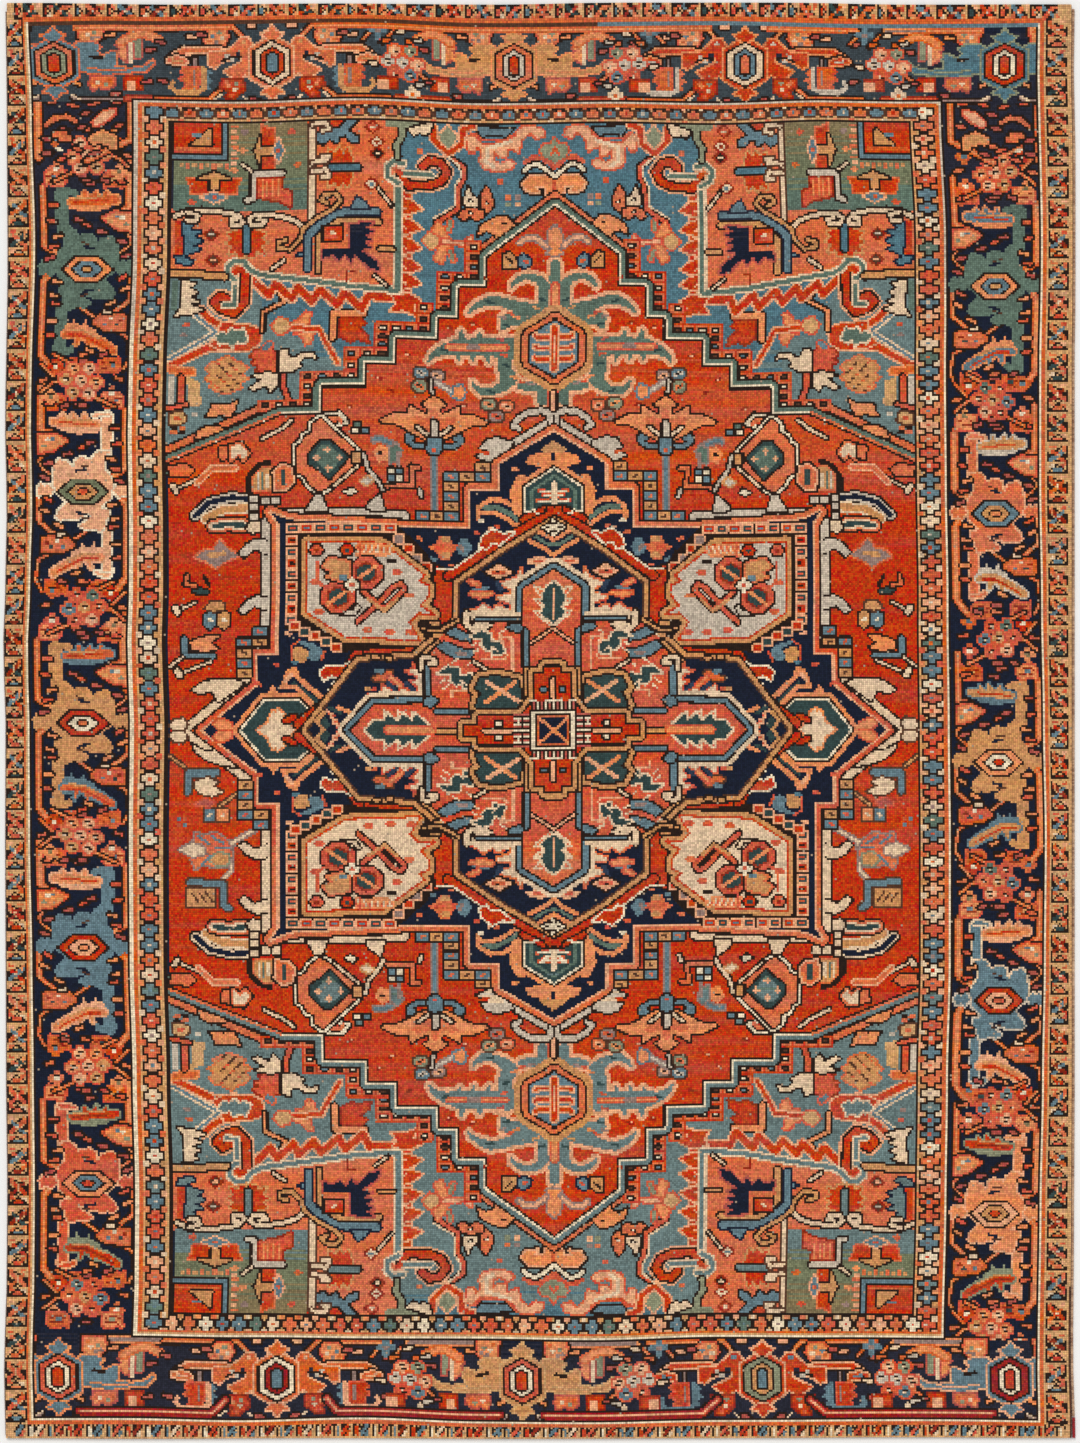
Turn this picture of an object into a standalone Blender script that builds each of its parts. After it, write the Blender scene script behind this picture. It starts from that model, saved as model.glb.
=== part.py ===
"""A hand-knotted Persian village rug that lies flat, face up.

The rug is one knotted sheet: the cotton foundation and its wool pile can't be parted. Its two long
sides are overcast with wool, so each has a narrow selvedge, thin on the left and thicker on the
right, whose lowest two inches are a later mend. The sides and ends wander by a few millimetres, as
hand-knotted ones do, and the corners are worn round.

Metres, +Z up. The origin is on the floor under the middle of the rug, +Y runs along its length
towards the end that is knotted last, and -X is its left side.
"""

import math
from collections import namedtuple

import bpy

# Driving sizes, in metres.
RUG_WIDTH = 2.64  # over both selvedges, where they bulge most
RUG_LENGTH = 3.533
SHEET_THICKNESS = 0.009  # foundation and worn pile together
RIM_ROUNDING = 0.0015  # the pile leans out and rounds the sheet's rim
MEND_LENGTH = 0.052
PIECE_GAP = 0.0003  # left between pieces that are sewn face to face

STATION_PITCH = 0.1  # the outline and the selvedges have a point this often
CORNER_STEPS = 4  # points along each worn corner
CROWN_STEPS = 8  # steps over a selvedge's crown

# The overcast edges: how wide and how tall each one's section is, in metres.
Overcast = namedtuple("Overcast", "width height")

LEFT_OVERCAST = Overcast(0.0036, 0.0055)
RIGHT_OVERCAST = Overcast(0.0075, 0.0080)
MEND_OVERCAST = Overcast(0.0082, 0.0085)

# How far an edge strays outwards from its straight line, in metres, at a share of its length.
# The sides run from the bottom end up, and the ends from left to right.
Stray = namedtuple("Stray", "share outward")

LEFT_STRAY = (
    Stray(0.00, 0.000),
    Stray(0.04, 0.004),
    Stray(0.12, -0.003),
    Stray(0.17, -0.004),
    Stray(0.26, -0.001),
    Stray(0.42, 0.001),
    Stray(0.50, 0.000),
    Stray(0.55, 0.006),
    Stray(0.59, 0.001),
    Stray(0.65, -0.003),
    Stray(0.70, 0.001),
    Stray(0.82, -0.005),
    Stray(0.93, -0.003),
    Stray(1.00, 0.000),
)
RIGHT_STRAY = (
    Stray(0.00, 0.001),
    Stray(0.06, -0.004),
    Stray(0.13, -0.002),
    Stray(0.25, 0.000),
    Stray(0.75, 0.000),
    Stray(0.80, 0.002),
    Stray(0.90, 0.002),
    Stray(0.95, -0.002),
    Stray(1.00, 0.000),
)
BOTTOM_STRAY = (
    Stray(0.00, 0.000),
    Stray(0.12, 0.002),
    Stray(0.30, 0.000),
    Stray(0.48, 0.002),
    Stray(0.70, 0.000),
    Stray(0.84, -0.002),
    Stray(1.00, 0.000),
)
TOP_STRAY = (
    Stray(0.00, 0.002),
    Stray(0.16, -0.003),
    Stray(0.30, 0.000),
    Stray(0.46, -0.003),
    Stray(0.57, 0.002),
    Stray(0.73, 0.002),
    Stray(0.85, -0.003),
    Stray(1.00, -0.002),
)

# Radius of each worn corner of the sheet.
BOTTOM_LEFT_RADIUS = 0.007
BOTTOM_RIGHT_RADIUS = 0.005
TOP_RIGHT_RADIUS = 0.008
TOP_LEFT_RADIUS = 0.018

# Where each edge's straight line lies: the furthest bulge of the rug meets the driving size.
LEFT_LINE = -RUG_WIDTH / 2 + max(s.outward for s in LEFT_STRAY)
RIGHT_LINE = RUG_WIDTH / 2 - max(s.outward for s in RIGHT_STRAY)
BOTTOM_LINE = -RUG_LENGTH / 2 + max(s.outward for s in BOTTOM_STRAY)
TOP_LINE = RUG_LENGTH / 2 - max(s.outward for s in TOP_STRAY)

# Colour (linear RGBA) and roughness of each wool.
MADDER_WOOL = ((0.48, 0.075, 0.025, 1.0), 0.95)
LEFT_WOOL = ((0.33, 0.21, 0.18, 1.0), 0.9)
RIGHT_WOOL = ((0.42, 0.26, 0.15, 1.0), 0.9)
MEND_WOOL = ((0.35, 0.012, 0.01, 1.0), 0.9)


def clear_scene():
    """Remove every object that the file opened with."""
    for obj in list(bpy.data.objects):
        bpy.data.objects.remove(obj)


def wool(name, finish):
    """A plain matt wool."""
    colour, roughness = finish
    material = bpy.data.materials.new(name)
    material.use_nodes = True
    shader = material.node_tree.nodes["Principled BSDF"]
    shader.inputs["Base Color"].default_value = colour
    shader.inputs["Roughness"].default_value = roughness
    shader.inputs["Metallic"].default_value = 0.0
    material.diffuse_color = colour
    return material


def outward_at(strays, share):
    """How far the edge lies outside its straight line there, easing from one station to the next."""
    for before, after in zip(strays, strays[1:]):
        if share <= after.share:
            t = (share - before.share) / (after.share - before.share)
            ease = t * t * (3 - 2 * t)
            return before.outward + (after.outward - before.outward) * ease
    return strays[-1].outward


def side_x(left, y):
    """The rug's outer edge at y, on its left or right side."""
    share = (y - BOTTOM_LINE) / (TOP_LINE - BOTTOM_LINE)
    if left:
        return LEFT_LINE - outward_at(LEFT_STRAY, share)
    return RIGHT_LINE + outward_at(RIGHT_STRAY, share)


def end_y(bottom, x):
    """The rug's outer edge at x, on its bottom or top end."""
    share = (x - LEFT_LINE) / (RIGHT_LINE - LEFT_LINE)
    if bottom:
        return BOTTOM_LINE - outward_at(BOTTOM_STRAY, share)
    return TOP_LINE + outward_at(TOP_STRAY, share)


def stations(start, stop):
    """Start, then every multiple of STATION_PITCH before stop, so that neighbours share their stations."""
    low, high = sorted((start, stop))
    first = math.ceil(low / STATION_PITCH + 0.1)
    last = math.floor(high / STATION_PITCH - 0.1)
    places = [i * STATION_PITCH for i in range(first, last + 1)]
    if start > stop:
        places.reverse()
    return [start] + places


def corner(x, y, radius, first_angle):
    """Points of a worn corner: a quarter turn, anticlockwise, about a centre inside the sheet."""
    points = []
    for i in range(CORNER_STEPS):
        angle = first_angle + math.pi / 2 * i / CORNER_STEPS
        points.append((x + radius * math.cos(angle), y + radius * math.sin(angle)))
    return points


def sheet_outline():
    """The knotted sheet's outline, anticlockwise from its bottom left corner, inside the selvedges."""

    def left_x(y):
        return side_x(True, y) + LEFT_OVERCAST.width + PIECE_GAP

    def right_x(y):
        return side_x(False, y) - RIGHT_OVERCAST.width - PIECE_GAP

    low_left, low_right = end_y(True, LEFT_LINE), end_y(True, RIGHT_LINE)
    high_right, high_left = end_y(False, RIGHT_LINE), end_y(False, LEFT_LINE)
    centres = (
        (left_x(low_left) + BOTTOM_LEFT_RADIUS, low_left + BOTTOM_LEFT_RADIUS),
        (right_x(low_right) - BOTTOM_RIGHT_RADIUS, low_right + BOTTOM_RIGHT_RADIUS),
        (right_x(high_right) - TOP_RIGHT_RADIUS, high_right - TOP_RIGHT_RADIUS),
        (left_x(high_left) + TOP_LEFT_RADIUS, high_left - TOP_LEFT_RADIUS),
    )
    (bl_x, bl_y), (br_x, br_y), (tr_x, tr_y), (tl_x, tl_y) = centres

    points = corner(bl_x, bl_y, BOTTOM_LEFT_RADIUS, math.pi)
    points += [(x, end_y(True, x)) for x in stations(bl_x, br_x)]
    points += corner(br_x, br_y, BOTTOM_RIGHT_RADIUS, -math.pi / 2)
    points += [(right_x(y), y) for y in stations(br_y, tr_y)]
    points += corner(tr_x, tr_y, TOP_RIGHT_RADIUS, 0.0)
    points += [(x, end_y(False, x)) for x in stations(tr_x, tl_x)]
    points += corner(tl_x, tl_y, TOP_LEFT_RADIUS, math.pi / 2)
    points += [(left_x(y), y) for y in stations(tl_y, bl_y)]
    return points


def poly_curve(name, points, closed, dimensions):
    """A curve object with one POLY spline through 3D points."""
    curve = bpy.data.curves.new(name, "CURVE")
    curve.dimensions = dimensions
    spline = curve.splines.new("POLY")
    spline.points.add(len(points) - 1)
    for place, point in zip(spline.points, points):
        place.co = (*point, 1.0)
    spline.use_cyclic_u = closed
    return bpy.data.objects.new(name, curve)


def make_sheet(collection):
    """The knotted sheet: its outline filled, half its thickness either way, with a rounded rim."""
    outline = [(x, y, 0.0) for x, y in sheet_outline()]
    sheet = poly_curve("knotted_sheet", outline, closed=True, dimensions="2D")
    sheet.data.fill_mode = "BOTH"
    sheet.data.extrude = SHEET_THICKNESS / 2 - RIM_ROUNDING
    sheet.data.bevel_depth = RIM_ROUNDING
    sheet.data.bevel_resolution = 1
    sheet.data.offset = -RIM_ROUNDING
    sheet.location.z = SHEET_THICKNESS / 2
    sheet.data.materials.append(wool("madder_wool", MADDER_WOOL))
    collection.objects.link(sheet)


def make_section(name, overcast, collection):
    """A selvedge's section, which it is swept along: flat below, with a crowned top."""
    half = overcast.width / 2
    spring = overcast.height - half  # where the crown springs from the straight sides
    points = [(-half, 0.0, 0.0)]
    for i in range(CROWN_STEPS + 1):
        angle = math.pi * (1 - i / CROWN_STEPS)
        points.append((half * math.cos(angle), spring + half * math.sin(angle), 0.0))
    points.append((half, 0.0, 0.0))
    section = poly_curve(name, points, closed=True, dimensions="2D")
    section.hide_render = True
    section.display_type = "WIRE"
    collection.objects.link(section)
    return section


def sweep(name, section, path, material, collection):
    """A capped length of selvedge along a path on the floor."""
    selvedge = poly_curve(name, path, closed=False, dimensions="3D")
    selvedge.data.twist_mode = "Z_UP"
    selvedge.data.bevel_mode = "OBJECT"
    selvedge.data.bevel_object = section
    selvedge.data.use_fill_caps = True
    selvedge.data.materials.append(material)
    collection.objects.link(selvedge)


def make_selvedges(rug, guides):
    """The left selvedge, the right one, and the mend at the right one's foot, on the same inner line."""
    left_section = make_section("left_section", LEFT_OVERCAST, guides)
    right_section = make_section("right_section", RIGHT_OVERCAST, guides)
    mend_section = make_section("mend_section", MEND_OVERCAST, guides)
    grey_brown = wool("grey_brown_wool", LEFT_WOOL)
    camel = wool("camel_wool", RIGHT_WOOL)
    crimson = wool("crimson_wool", MEND_WOOL)

    def path(left, low_y, high_y, middle):
        """Points from low_y up to high_y, with their middle that far inside the rug's outer edge."""
        inward = middle if left else -middle
        return [(side_x(left, y) + inward, y, 0.0) for y in stations(low_y, high_y) + [high_y]]

    low = end_y(True, LEFT_LINE) + BOTTOM_LEFT_RADIUS
    high = end_y(False, LEFT_LINE) - TOP_LEFT_RADIUS
    route = path(True, low, high, LEFT_OVERCAST.width / 2)
    sweep("selvedge_left", left_section, route, grey_brown, rug)

    low = end_y(True, RIGHT_LINE)
    mend_top = low + MEND_LENGTH
    high = end_y(False, RIGHT_LINE) - TOP_RIGHT_RADIUS
    route = path(False, mend_top + PIECE_GAP, high, RIGHT_OVERCAST.width / 2)
    sweep("selvedge_right", right_section, route, camel, rug)
    route = path(False, low, mend_top, RIGHT_OVERCAST.width - MEND_OVERCAST.width / 2)
    sweep("selvedge_mend", mend_section, route, crimson, rug)


def build():
    """Make every piece of the rug."""
    clear_scene()
    rug = bpy.data.collections.new("persian_rug")
    guides = bpy.data.collections.new("guides")
    bpy.context.scene.collection.children.link(rug)
    bpy.context.scene.collection.children.link(guides)
    make_sheet(rug)
    make_selvedges(rug, guides)


build()
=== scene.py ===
"""Looks of a hand-knotted Persian village rug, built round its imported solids.

The rug is woven as a real one is. A cartoon on squared paper gives every knot its wool, and the pile is
a sheet whose faces each carry the wools of a few knots, so one knot in the drawing is one knot of the
rug. The side edges are wrapped with yarn, turn by turn.
"""

import logging
import math
import re
from collections.abc import Iterator
from dataclasses import dataclass, field, replace
from enum import IntEnum

import bpy
import numpy as np
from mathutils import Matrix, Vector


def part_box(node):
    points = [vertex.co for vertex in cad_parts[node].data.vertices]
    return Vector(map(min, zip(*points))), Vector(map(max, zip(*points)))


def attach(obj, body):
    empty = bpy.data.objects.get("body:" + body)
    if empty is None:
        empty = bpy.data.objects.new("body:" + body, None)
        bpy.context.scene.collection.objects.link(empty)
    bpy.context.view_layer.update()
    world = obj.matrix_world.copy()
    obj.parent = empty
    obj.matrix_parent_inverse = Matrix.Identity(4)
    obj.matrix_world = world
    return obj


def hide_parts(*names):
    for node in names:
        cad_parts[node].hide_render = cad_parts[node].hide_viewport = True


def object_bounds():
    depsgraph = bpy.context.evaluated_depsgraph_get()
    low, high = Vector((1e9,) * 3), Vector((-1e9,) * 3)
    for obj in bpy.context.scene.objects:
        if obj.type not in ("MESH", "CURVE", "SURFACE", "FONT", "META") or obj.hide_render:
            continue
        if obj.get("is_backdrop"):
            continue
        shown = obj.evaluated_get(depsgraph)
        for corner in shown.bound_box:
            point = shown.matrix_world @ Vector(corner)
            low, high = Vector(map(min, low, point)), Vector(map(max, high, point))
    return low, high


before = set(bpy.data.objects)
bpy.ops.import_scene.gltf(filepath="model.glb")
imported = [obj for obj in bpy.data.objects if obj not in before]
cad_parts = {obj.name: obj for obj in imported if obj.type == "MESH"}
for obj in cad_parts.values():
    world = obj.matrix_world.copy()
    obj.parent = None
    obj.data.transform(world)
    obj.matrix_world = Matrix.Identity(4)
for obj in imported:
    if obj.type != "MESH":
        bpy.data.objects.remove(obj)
LOG = logging.getLogger("rug")

# The cartoon: the knotted sheet is this many knots wide and high.
KNOTS_WIDE = 540
KNOTS_HIGH = 720


class Wool(IntEnum):
    """The dyed wools: each one's number is its place on the palette, and its colour is an sRGB hex value."""

    colour: str

    def __new__(cls, colour: str) -> "Wool":
        """Number the wools in the order that they are listed in."""
        wool = int.__new__(cls, len(cls.__members__))
        wool._value_ = len(cls.__members__)
        wool.colour = colour
        return wool

    NAVY = "#141b2d"
    INK = "#242532"
    SLATE = "#3a4348"
    PINE = "#314442"
    SEA = "#5f7264"
    SKY = "#52747f"
    STEEL = "#647c84"
    MIST = "#c9b8a3"
    IVORY = "#ead6b6"
    CREAM = "#e3c4a1"
    CAMEL = "#cd915e"
    GOLD = "#d2a16e"
    PEACH = "#e8a880"
    APRICOT = "#e68f5e"
    SALMON = "#da734d"
    CORAL = "#d35f43"
    ROSE = "#b5584c"
    ORANGE = "#d5683b"
    FLAME = "#c84524"
    MADDER = "#be6343"
    BRICK = "#93301c"
    CRIMSON = "#9c2320"
    BROWN = "#26170f"
    UMBER = "#553525"
    MAUVE = "#957a70"
    OLIVE = "#847452"
    MOSS = "#74785b"
    DUSK = "#2e3b4e"
    SAGE = "#8a8c70"
    TEAL = "#6a7d7b"
    VERMILION = "#c43b19"
    EMBER = "#cc5634"


# The wools by their own names, as the drawings use them.
(NAVY, INK, SLATE, PINE, SEA, SKY, STEEL, MIST, IVORY, CREAM, CAMEL, GOLD, PEACH, APRICOT, SALMON, CORAL,
 ROSE, ORANGE, FLAME, MADDER, BRICK, CRIMSON, BROWN, UMBER, MAUVE, OLIVE, MOSS, DUSK, SAGE, TEAL, VERMILION,
 EMBER) = Wool


def path(text: str) -> list[tuple[float, ...]]:
    """Read points written as "x,y x,y ...", where a missing number repeats the one of the point before.

    Args:
        text: the points, in knots.

    Returns:
        The points as tuples of numbers.
    """
    points: list[tuple[float, ...]] = []
    for point in text.split():
        parts = enumerate(point.split(","))
        points.append(tuple(float(part) if part else points[-1][i] for i, part in parts))
    return points


class Cartoon:
    """The knotting plan on squared paper: one wool for each knot, row 0 at the bottom."""

    def __init__(self) -> None:
        """Start with bare paper."""
        self.knots = np.zeros((KNOTS_HIGH, KNOTS_WIDE), np.uint8)

    def window(self, points: np.ndarray, margin: float) -> tuple[slice, slice, np.ndarray, np.ndarray]:
        """The squares round some points, with the places of their middles."""
        low = np.floor(points.min(0) - margin).astype(int)
        high = np.ceil(points.max(0) + margin).astype(int)
        left, right = max(low[0], 0), min(high[0] + 1, KNOTS_WIDE)
        bottom, top = max(low[1], 0), min(high[1] + 1, KNOTS_HIGH)
        x = np.arange(left, max(right, left))[None, :] + 0.5
        y = np.arange(bottom, max(top, bottom))[:, None] + 0.5
        return slice(bottom, max(top, bottom)), slice(left, max(right, left)), x, y

    def fill(self, wool: int, points: np.ndarray) -> None:
        """Knot the inside of an outline."""
        rows, columns, x, y = self.window(points, 1)
        inside = np.zeros((rows.stop - rows.start, columns.stop - columns.start), bool)
        for (x0, y0), (x1, y1) in zip(points, np.roll(points, -1, 0)):
            if y0 == y1:
                continue
            crosses = (y0 > y) != (y1 > y)
            inside ^= crosses & (x < (x1 - x0) * (y - y0) / (y1 - y0) + x0)
        self.knots[rows, columns][inside] = wool

    def stroke(self, wool: int, points: np.ndarray, width: float) -> None:
        """Knot a line along some points."""
        self.leaf(wool, points, [width] * len(points))

    def leaf(self, wool: int, points: np.ndarray, widths: list[float]) -> None:
        """Knot a line whose width changes from point to point."""
        for (x0, y0), (x1, y1), w0, w1 in zip(points, points[1:], widths, widths[1:]):
            rows, columns, x, y = self.window(np.array([(x0, y0), (x1, y1)]), max(w0, w1) / 2 + 1)
            run, rise = x1 - x0, y1 - y0
            t = np.clip(((x - x0) * run + (y - y0) * rise) / max(run * run + rise * rise, 1e-9), 0, 1)
            near = np.hypot(x - x0 - t * run, y - y0 - t * rise) <= (w0 + (w1 - w0) * t) / 2
            self.knots[rows, columns][near] = wool


@dataclass(frozen=True)
class Axes:
    """Where a motif's own axes lie on the cartoon: they may be turned, mirrored or stretched."""

    origin: tuple[float, float] = (0.0, 0.0)
    across: tuple[float, float] = (1.0, 0.0)
    along: tuple[float, float] = (0.0, 1.0)
    swaps: tuple[tuple[int, int], ...] = ()

    def place(self, points: list[tuple[float, float]]) -> np.ndarray:
        """Where points of these axes lie on the cartoon."""
        p = np.asarray(points, float)
        return np.array(self.origin) + p[:, :1] * np.array(self.across) + p[:, 1:] * np.array(self.along)

    def moved(self, x: float, y: float, turn: float, flip: bool, size: float, swaps: tuple) -> "Axes":
        """These axes, moved and turned within themselves, with more wools swapped."""
        c, s = size * math.cos(math.radians(turn)), size * math.sin(math.radians(turn))
        across, along = np.array(self.across), np.array(self.along)
        new_across = (across * c + along * s) * (-1 if flip else 1)
        new_along = along * c - across * s
        return Axes(tuple(self.place([(x, y)])[0]), tuple(new_across), tuple(new_along), swaps + self.swaps)

    def dyed(self, wool: int) -> int:
        """The wool after this motif's swaps."""
        for old, new in self.swaps:
            if wool == old:
                return new
        return wool


@dataclass(frozen=True)
class Pen:
    """Draws each line of a motif at once in all its places, so that mirrored halves meet cleanly."""

    cartoon: Cartoon
    places: tuple[Axes, ...] = (Axes(),)
    names: dict[str, int] = field(default_factory=dict)  # what the wools named in small letters are

    def at(self, x: float, y: float, turn: float = 0.0, flip: bool = False, size: float = 1.0,
           **swaps: int) -> "Pen":
        """A pen for a motif placed in these axes.

        Args:
            x: where the motif's middle lies.
            y: likewise.
            turn: degrees anticlockwise.
            flip: mirror the motif left to right before it is turned.
            size: its scale.
            swaps: a wool to use in place of another, by name.

        Returns:
            The pen.
        """
        changed = tuple((Wool[name.upper()], wool) for name, wool in swaps.items())
        return replace(self, places=tuple(a.moved(x, y, turn, flip, size, changed) for a in self.places))

    def on(self, *axes: tuple[float, float]) -> "Pen":
        """A pen on axes of its own: where they start, then what a knot across and a knot along come to."""
        return replace(self, places=(Axes(*axes),))

    def doubled(self) -> "Pen":
        """A pen that also draws the mirror image, left for right."""
        mirrored = (replace(a, across=(-a.across[0], -a.across[1])) for a in self.places)
        return replace(self, places=(*self.places, *mirrored))

    def only(self, *which: int) -> "Pen":
        """A pen for some of this one's places."""
        return replace(self, places=tuple(self.places[i] for i in which))

    def fill(self, wool: int, points: list[tuple[float, float]]) -> None:
        """Knot the inside of an outline."""
        for axes in self.places:
            self.cartoon.fill(axes.dyed(wool), axes.place(points))

    def stroke(self, wool: int, points: list[tuple[float, float]], width: float) -> None:
        """Knot a line through points."""
        for axes in self.places:
            self.cartoon.stroke(axes.dyed(wool), axes.place(points), width)

    def line(self, wool: int, text: str, width: float = 1.1, *edges: int) -> None:
        """Draw a line through points, with lines a knot wide along both its sides.

        Args:
            wool: the line's wool.
            text: its points.
            width: its width in knots.
            edges: the wools beside it, from the inside out.
        """
        points = path(text)
        for i in range(len(edges), 0, -1):
            self.stroke(edges[i - 1], points, width + 2.1 * i)
        self.stroke(wool, points, width)

    def leaves(self, wool: int, text: str, *edges: int) -> None:
        """Draw leaves that grow into one another, with one edge round them all.

        Args:
            wool: their wool.
            text: each leaf's spine, as "x,y,width ...", with " / " between the leaves.
            edges: the wools round them, from the inside out.
        """
        spines = [path(leaf) for leaf in text.split("/")]
        for i in range(len(edges), -1, -1):
            for spine in spines:
                for axes in self.places:
                    dye = axes.dyed(edges[i - 1] if i else wool)
                    line = axes.place([p[:2] for p in spine])
                    self.cartoon.leaf(dye, line, [p[2] + 2.1 * i for p in spine])

    def area(self, wool: int, text: str, *edges: int) -> None:
        """Fill an outline, with lines a knot wide round it, from the inside out."""
        points = path(text)
        for i in range(len(edges), 0, -1):
            self.stroke(edges[i - 1], points + points[:1], 2.1 * i)
        self.fill(wool, points)

    def shell(self, wool: int, text: str, *edges: int) -> None:
        """Fill from an open outline in to the origin, with edge lines as area has."""
        points = path(text)
        for i in range(len(edges), 0, -1):
            self.stroke(edges[i - 1], points, 2.1 * i)
        self.fill(wool, points + [(-0.6, -0.6)])

    def block(self, wool: int, x0: float, y0: float, x1: float, y1: float, *edges: int) -> None:
        """Fill an upright rectangle."""
        self.area(wool, f"{x0},{y0} {x1},{y0} {x1},{y1} {x0},{y1}", *edges)

    def vine(self, text: str, width: float) -> None:
        """An orange vine with a light core between dark edges."""
        self.line(ORANGE, text, width, BROWN)
        self.line(APRICOT, text, width * 0.4)

    def blobs(self, wool: int, text: str) -> None:
        """Small leaves that lie slantwise on the ground, for each "x,y,slope"."""
        for x, y, slope in path(text):
            self.line(wool, f"{x - 1.7},{y - slope} {x + 1.7},{y + slope}", 1.6, BROWN)

    def spots(self, wool: int, text: str) -> None:
        """Single knots of colour."""
        self.dabs("0,0 0.9,0", 1.7, text, wool)

    def tuft(self, wool: int, text: str, heart: int) -> None:
        """A square blossom with dark veins, for each "x,y"."""
        for x, y in path(text):
            f = self.at(x, y)
            f.area(wool, "-5,-2 -3.6,-3.6 3.4,-3 5,-3.6 4.6,2 3,3.6 -4,3 -5,3.6", CORAL)
            f.line(BRICK, "-3.4,1 0,1.8 3.6,1", 0.9)
            f.line(BRICK, "-3.6,-1.6 0,-0.8 3,-1.8", 0.9)
            f.line(heart, "-0.8,0.4 1.2,0.2", 1.6)

    def wool(self, name: str) -> int:
        """The wool that a sketch names."""
        return self.names[name] if name.islower() else Wool[name]

    def spread(self, text: str, wool: int) -> Iterator[tuple[int, float, float]]:
        """Read places, with the name of a wool before the first place that has it.

        Args:
            text: the places.
            wool: the wool of places that come before any name.

        Yields:
            The wool, x and y of each place.
        """
        for part in text.split():
            if part[0].isalpha():
                wool = self.wool(part)
            else:
                yield wool, *path(part)[0]

    def dabs(self, shape: str, width: float, text: str, wool: int = 0, *edges: int) -> None:
        """The same short line at many places, its points given from each place."""
        for wool, x, y in self.spread(text, wool):
            self.line(wool, " ".join(f"{x + dx},{y + dy}" for dx, dy in path(shape)), width, *edges)

    def tiles(self, half_wide: float, half_high: float, text: str, wool: int = 0, *edges: int) -> None:
        """The same upright rectangle at many places."""
        for wool, x, y in self.spread(text, wool):
            self.block(wool, x - half_wide, y - half_high, x + half_wide, y + half_high, *edges)

    def sketch(self, text: str) -> None:
        """Draw the strokes of a motif, in order.

        Each stroke reads "wools kind: points". Its own wool comes first, then its edges from the inside
        out. The kind is a line's width in knots, the name of another of this pen's strokes, or nothing
        for an area.

        Args:
            text: the strokes.
        """
        kinds = {"shell": self.shell, "leaves": self.leaves, "blobs": self.blobs, "spots": self.spots,
                 "tuft": self.tuft}
        for head, points in re.findall(r"([A-Za-z][^:]*): ([^A-Za-z]*)", text):
            *names, kind = head.split()
            if names == ["vine"]:
                self.vine(points, float(kind))
                continue
            if kind.isalpha() and kind not in ("block", *kinds):
                names.append(kind)  # an area: the last word is a wool
            wool, *edges = map(self.wool, names)
            if kind == "block":
                (x0, y0), (x1, y1) = path(points)
                self.block(wool, x0, y0, x1, y1, *edges)
            elif kind.isalpha():
                kinds.get(kind, self.area)(wool, points, *edges)
            else:
                self.line(wool, points, float(kind), *edges)


# Where the field lies on the cartoon, in knots. The weaver set the medallion a little to the right
# and low, so the four quarters of the design are stretched to fit.
FIELD_LEFT, FIELD_RIGHT = 83, 460
FIELD_BOTTOM, FIELD_TOP = 63, 660
MIDDLE_X, MIDDLE_Y = 277.4, 355.4
HALF_WIDTH, HALF_HEIGHT = 189.0, 298.2  # of the ideal field

RED_EDGE = "0,257 33,233 33,217.5 47,217.5 47,202 57,202 57,191.5 77,191.5 77,179 92,179 92,167.5 " \
    "113.5,167.5 113.5,154 134,154 191,130"
NAVY_EDGE = "173,0 145,22 ,37 135, ,101 139,107 130,103 72,99.5 41, ,118.5 27, ,131 0,147"
INNER_EDGE = "121,0 95,33 68,35 46,54 46,72 25,87 0,102"
CROSS_EDGE = "100,0 88,12.5 60,13 60,31 53,40 40,50 24,54 14.5,48 14.5,70 0,79"


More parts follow.
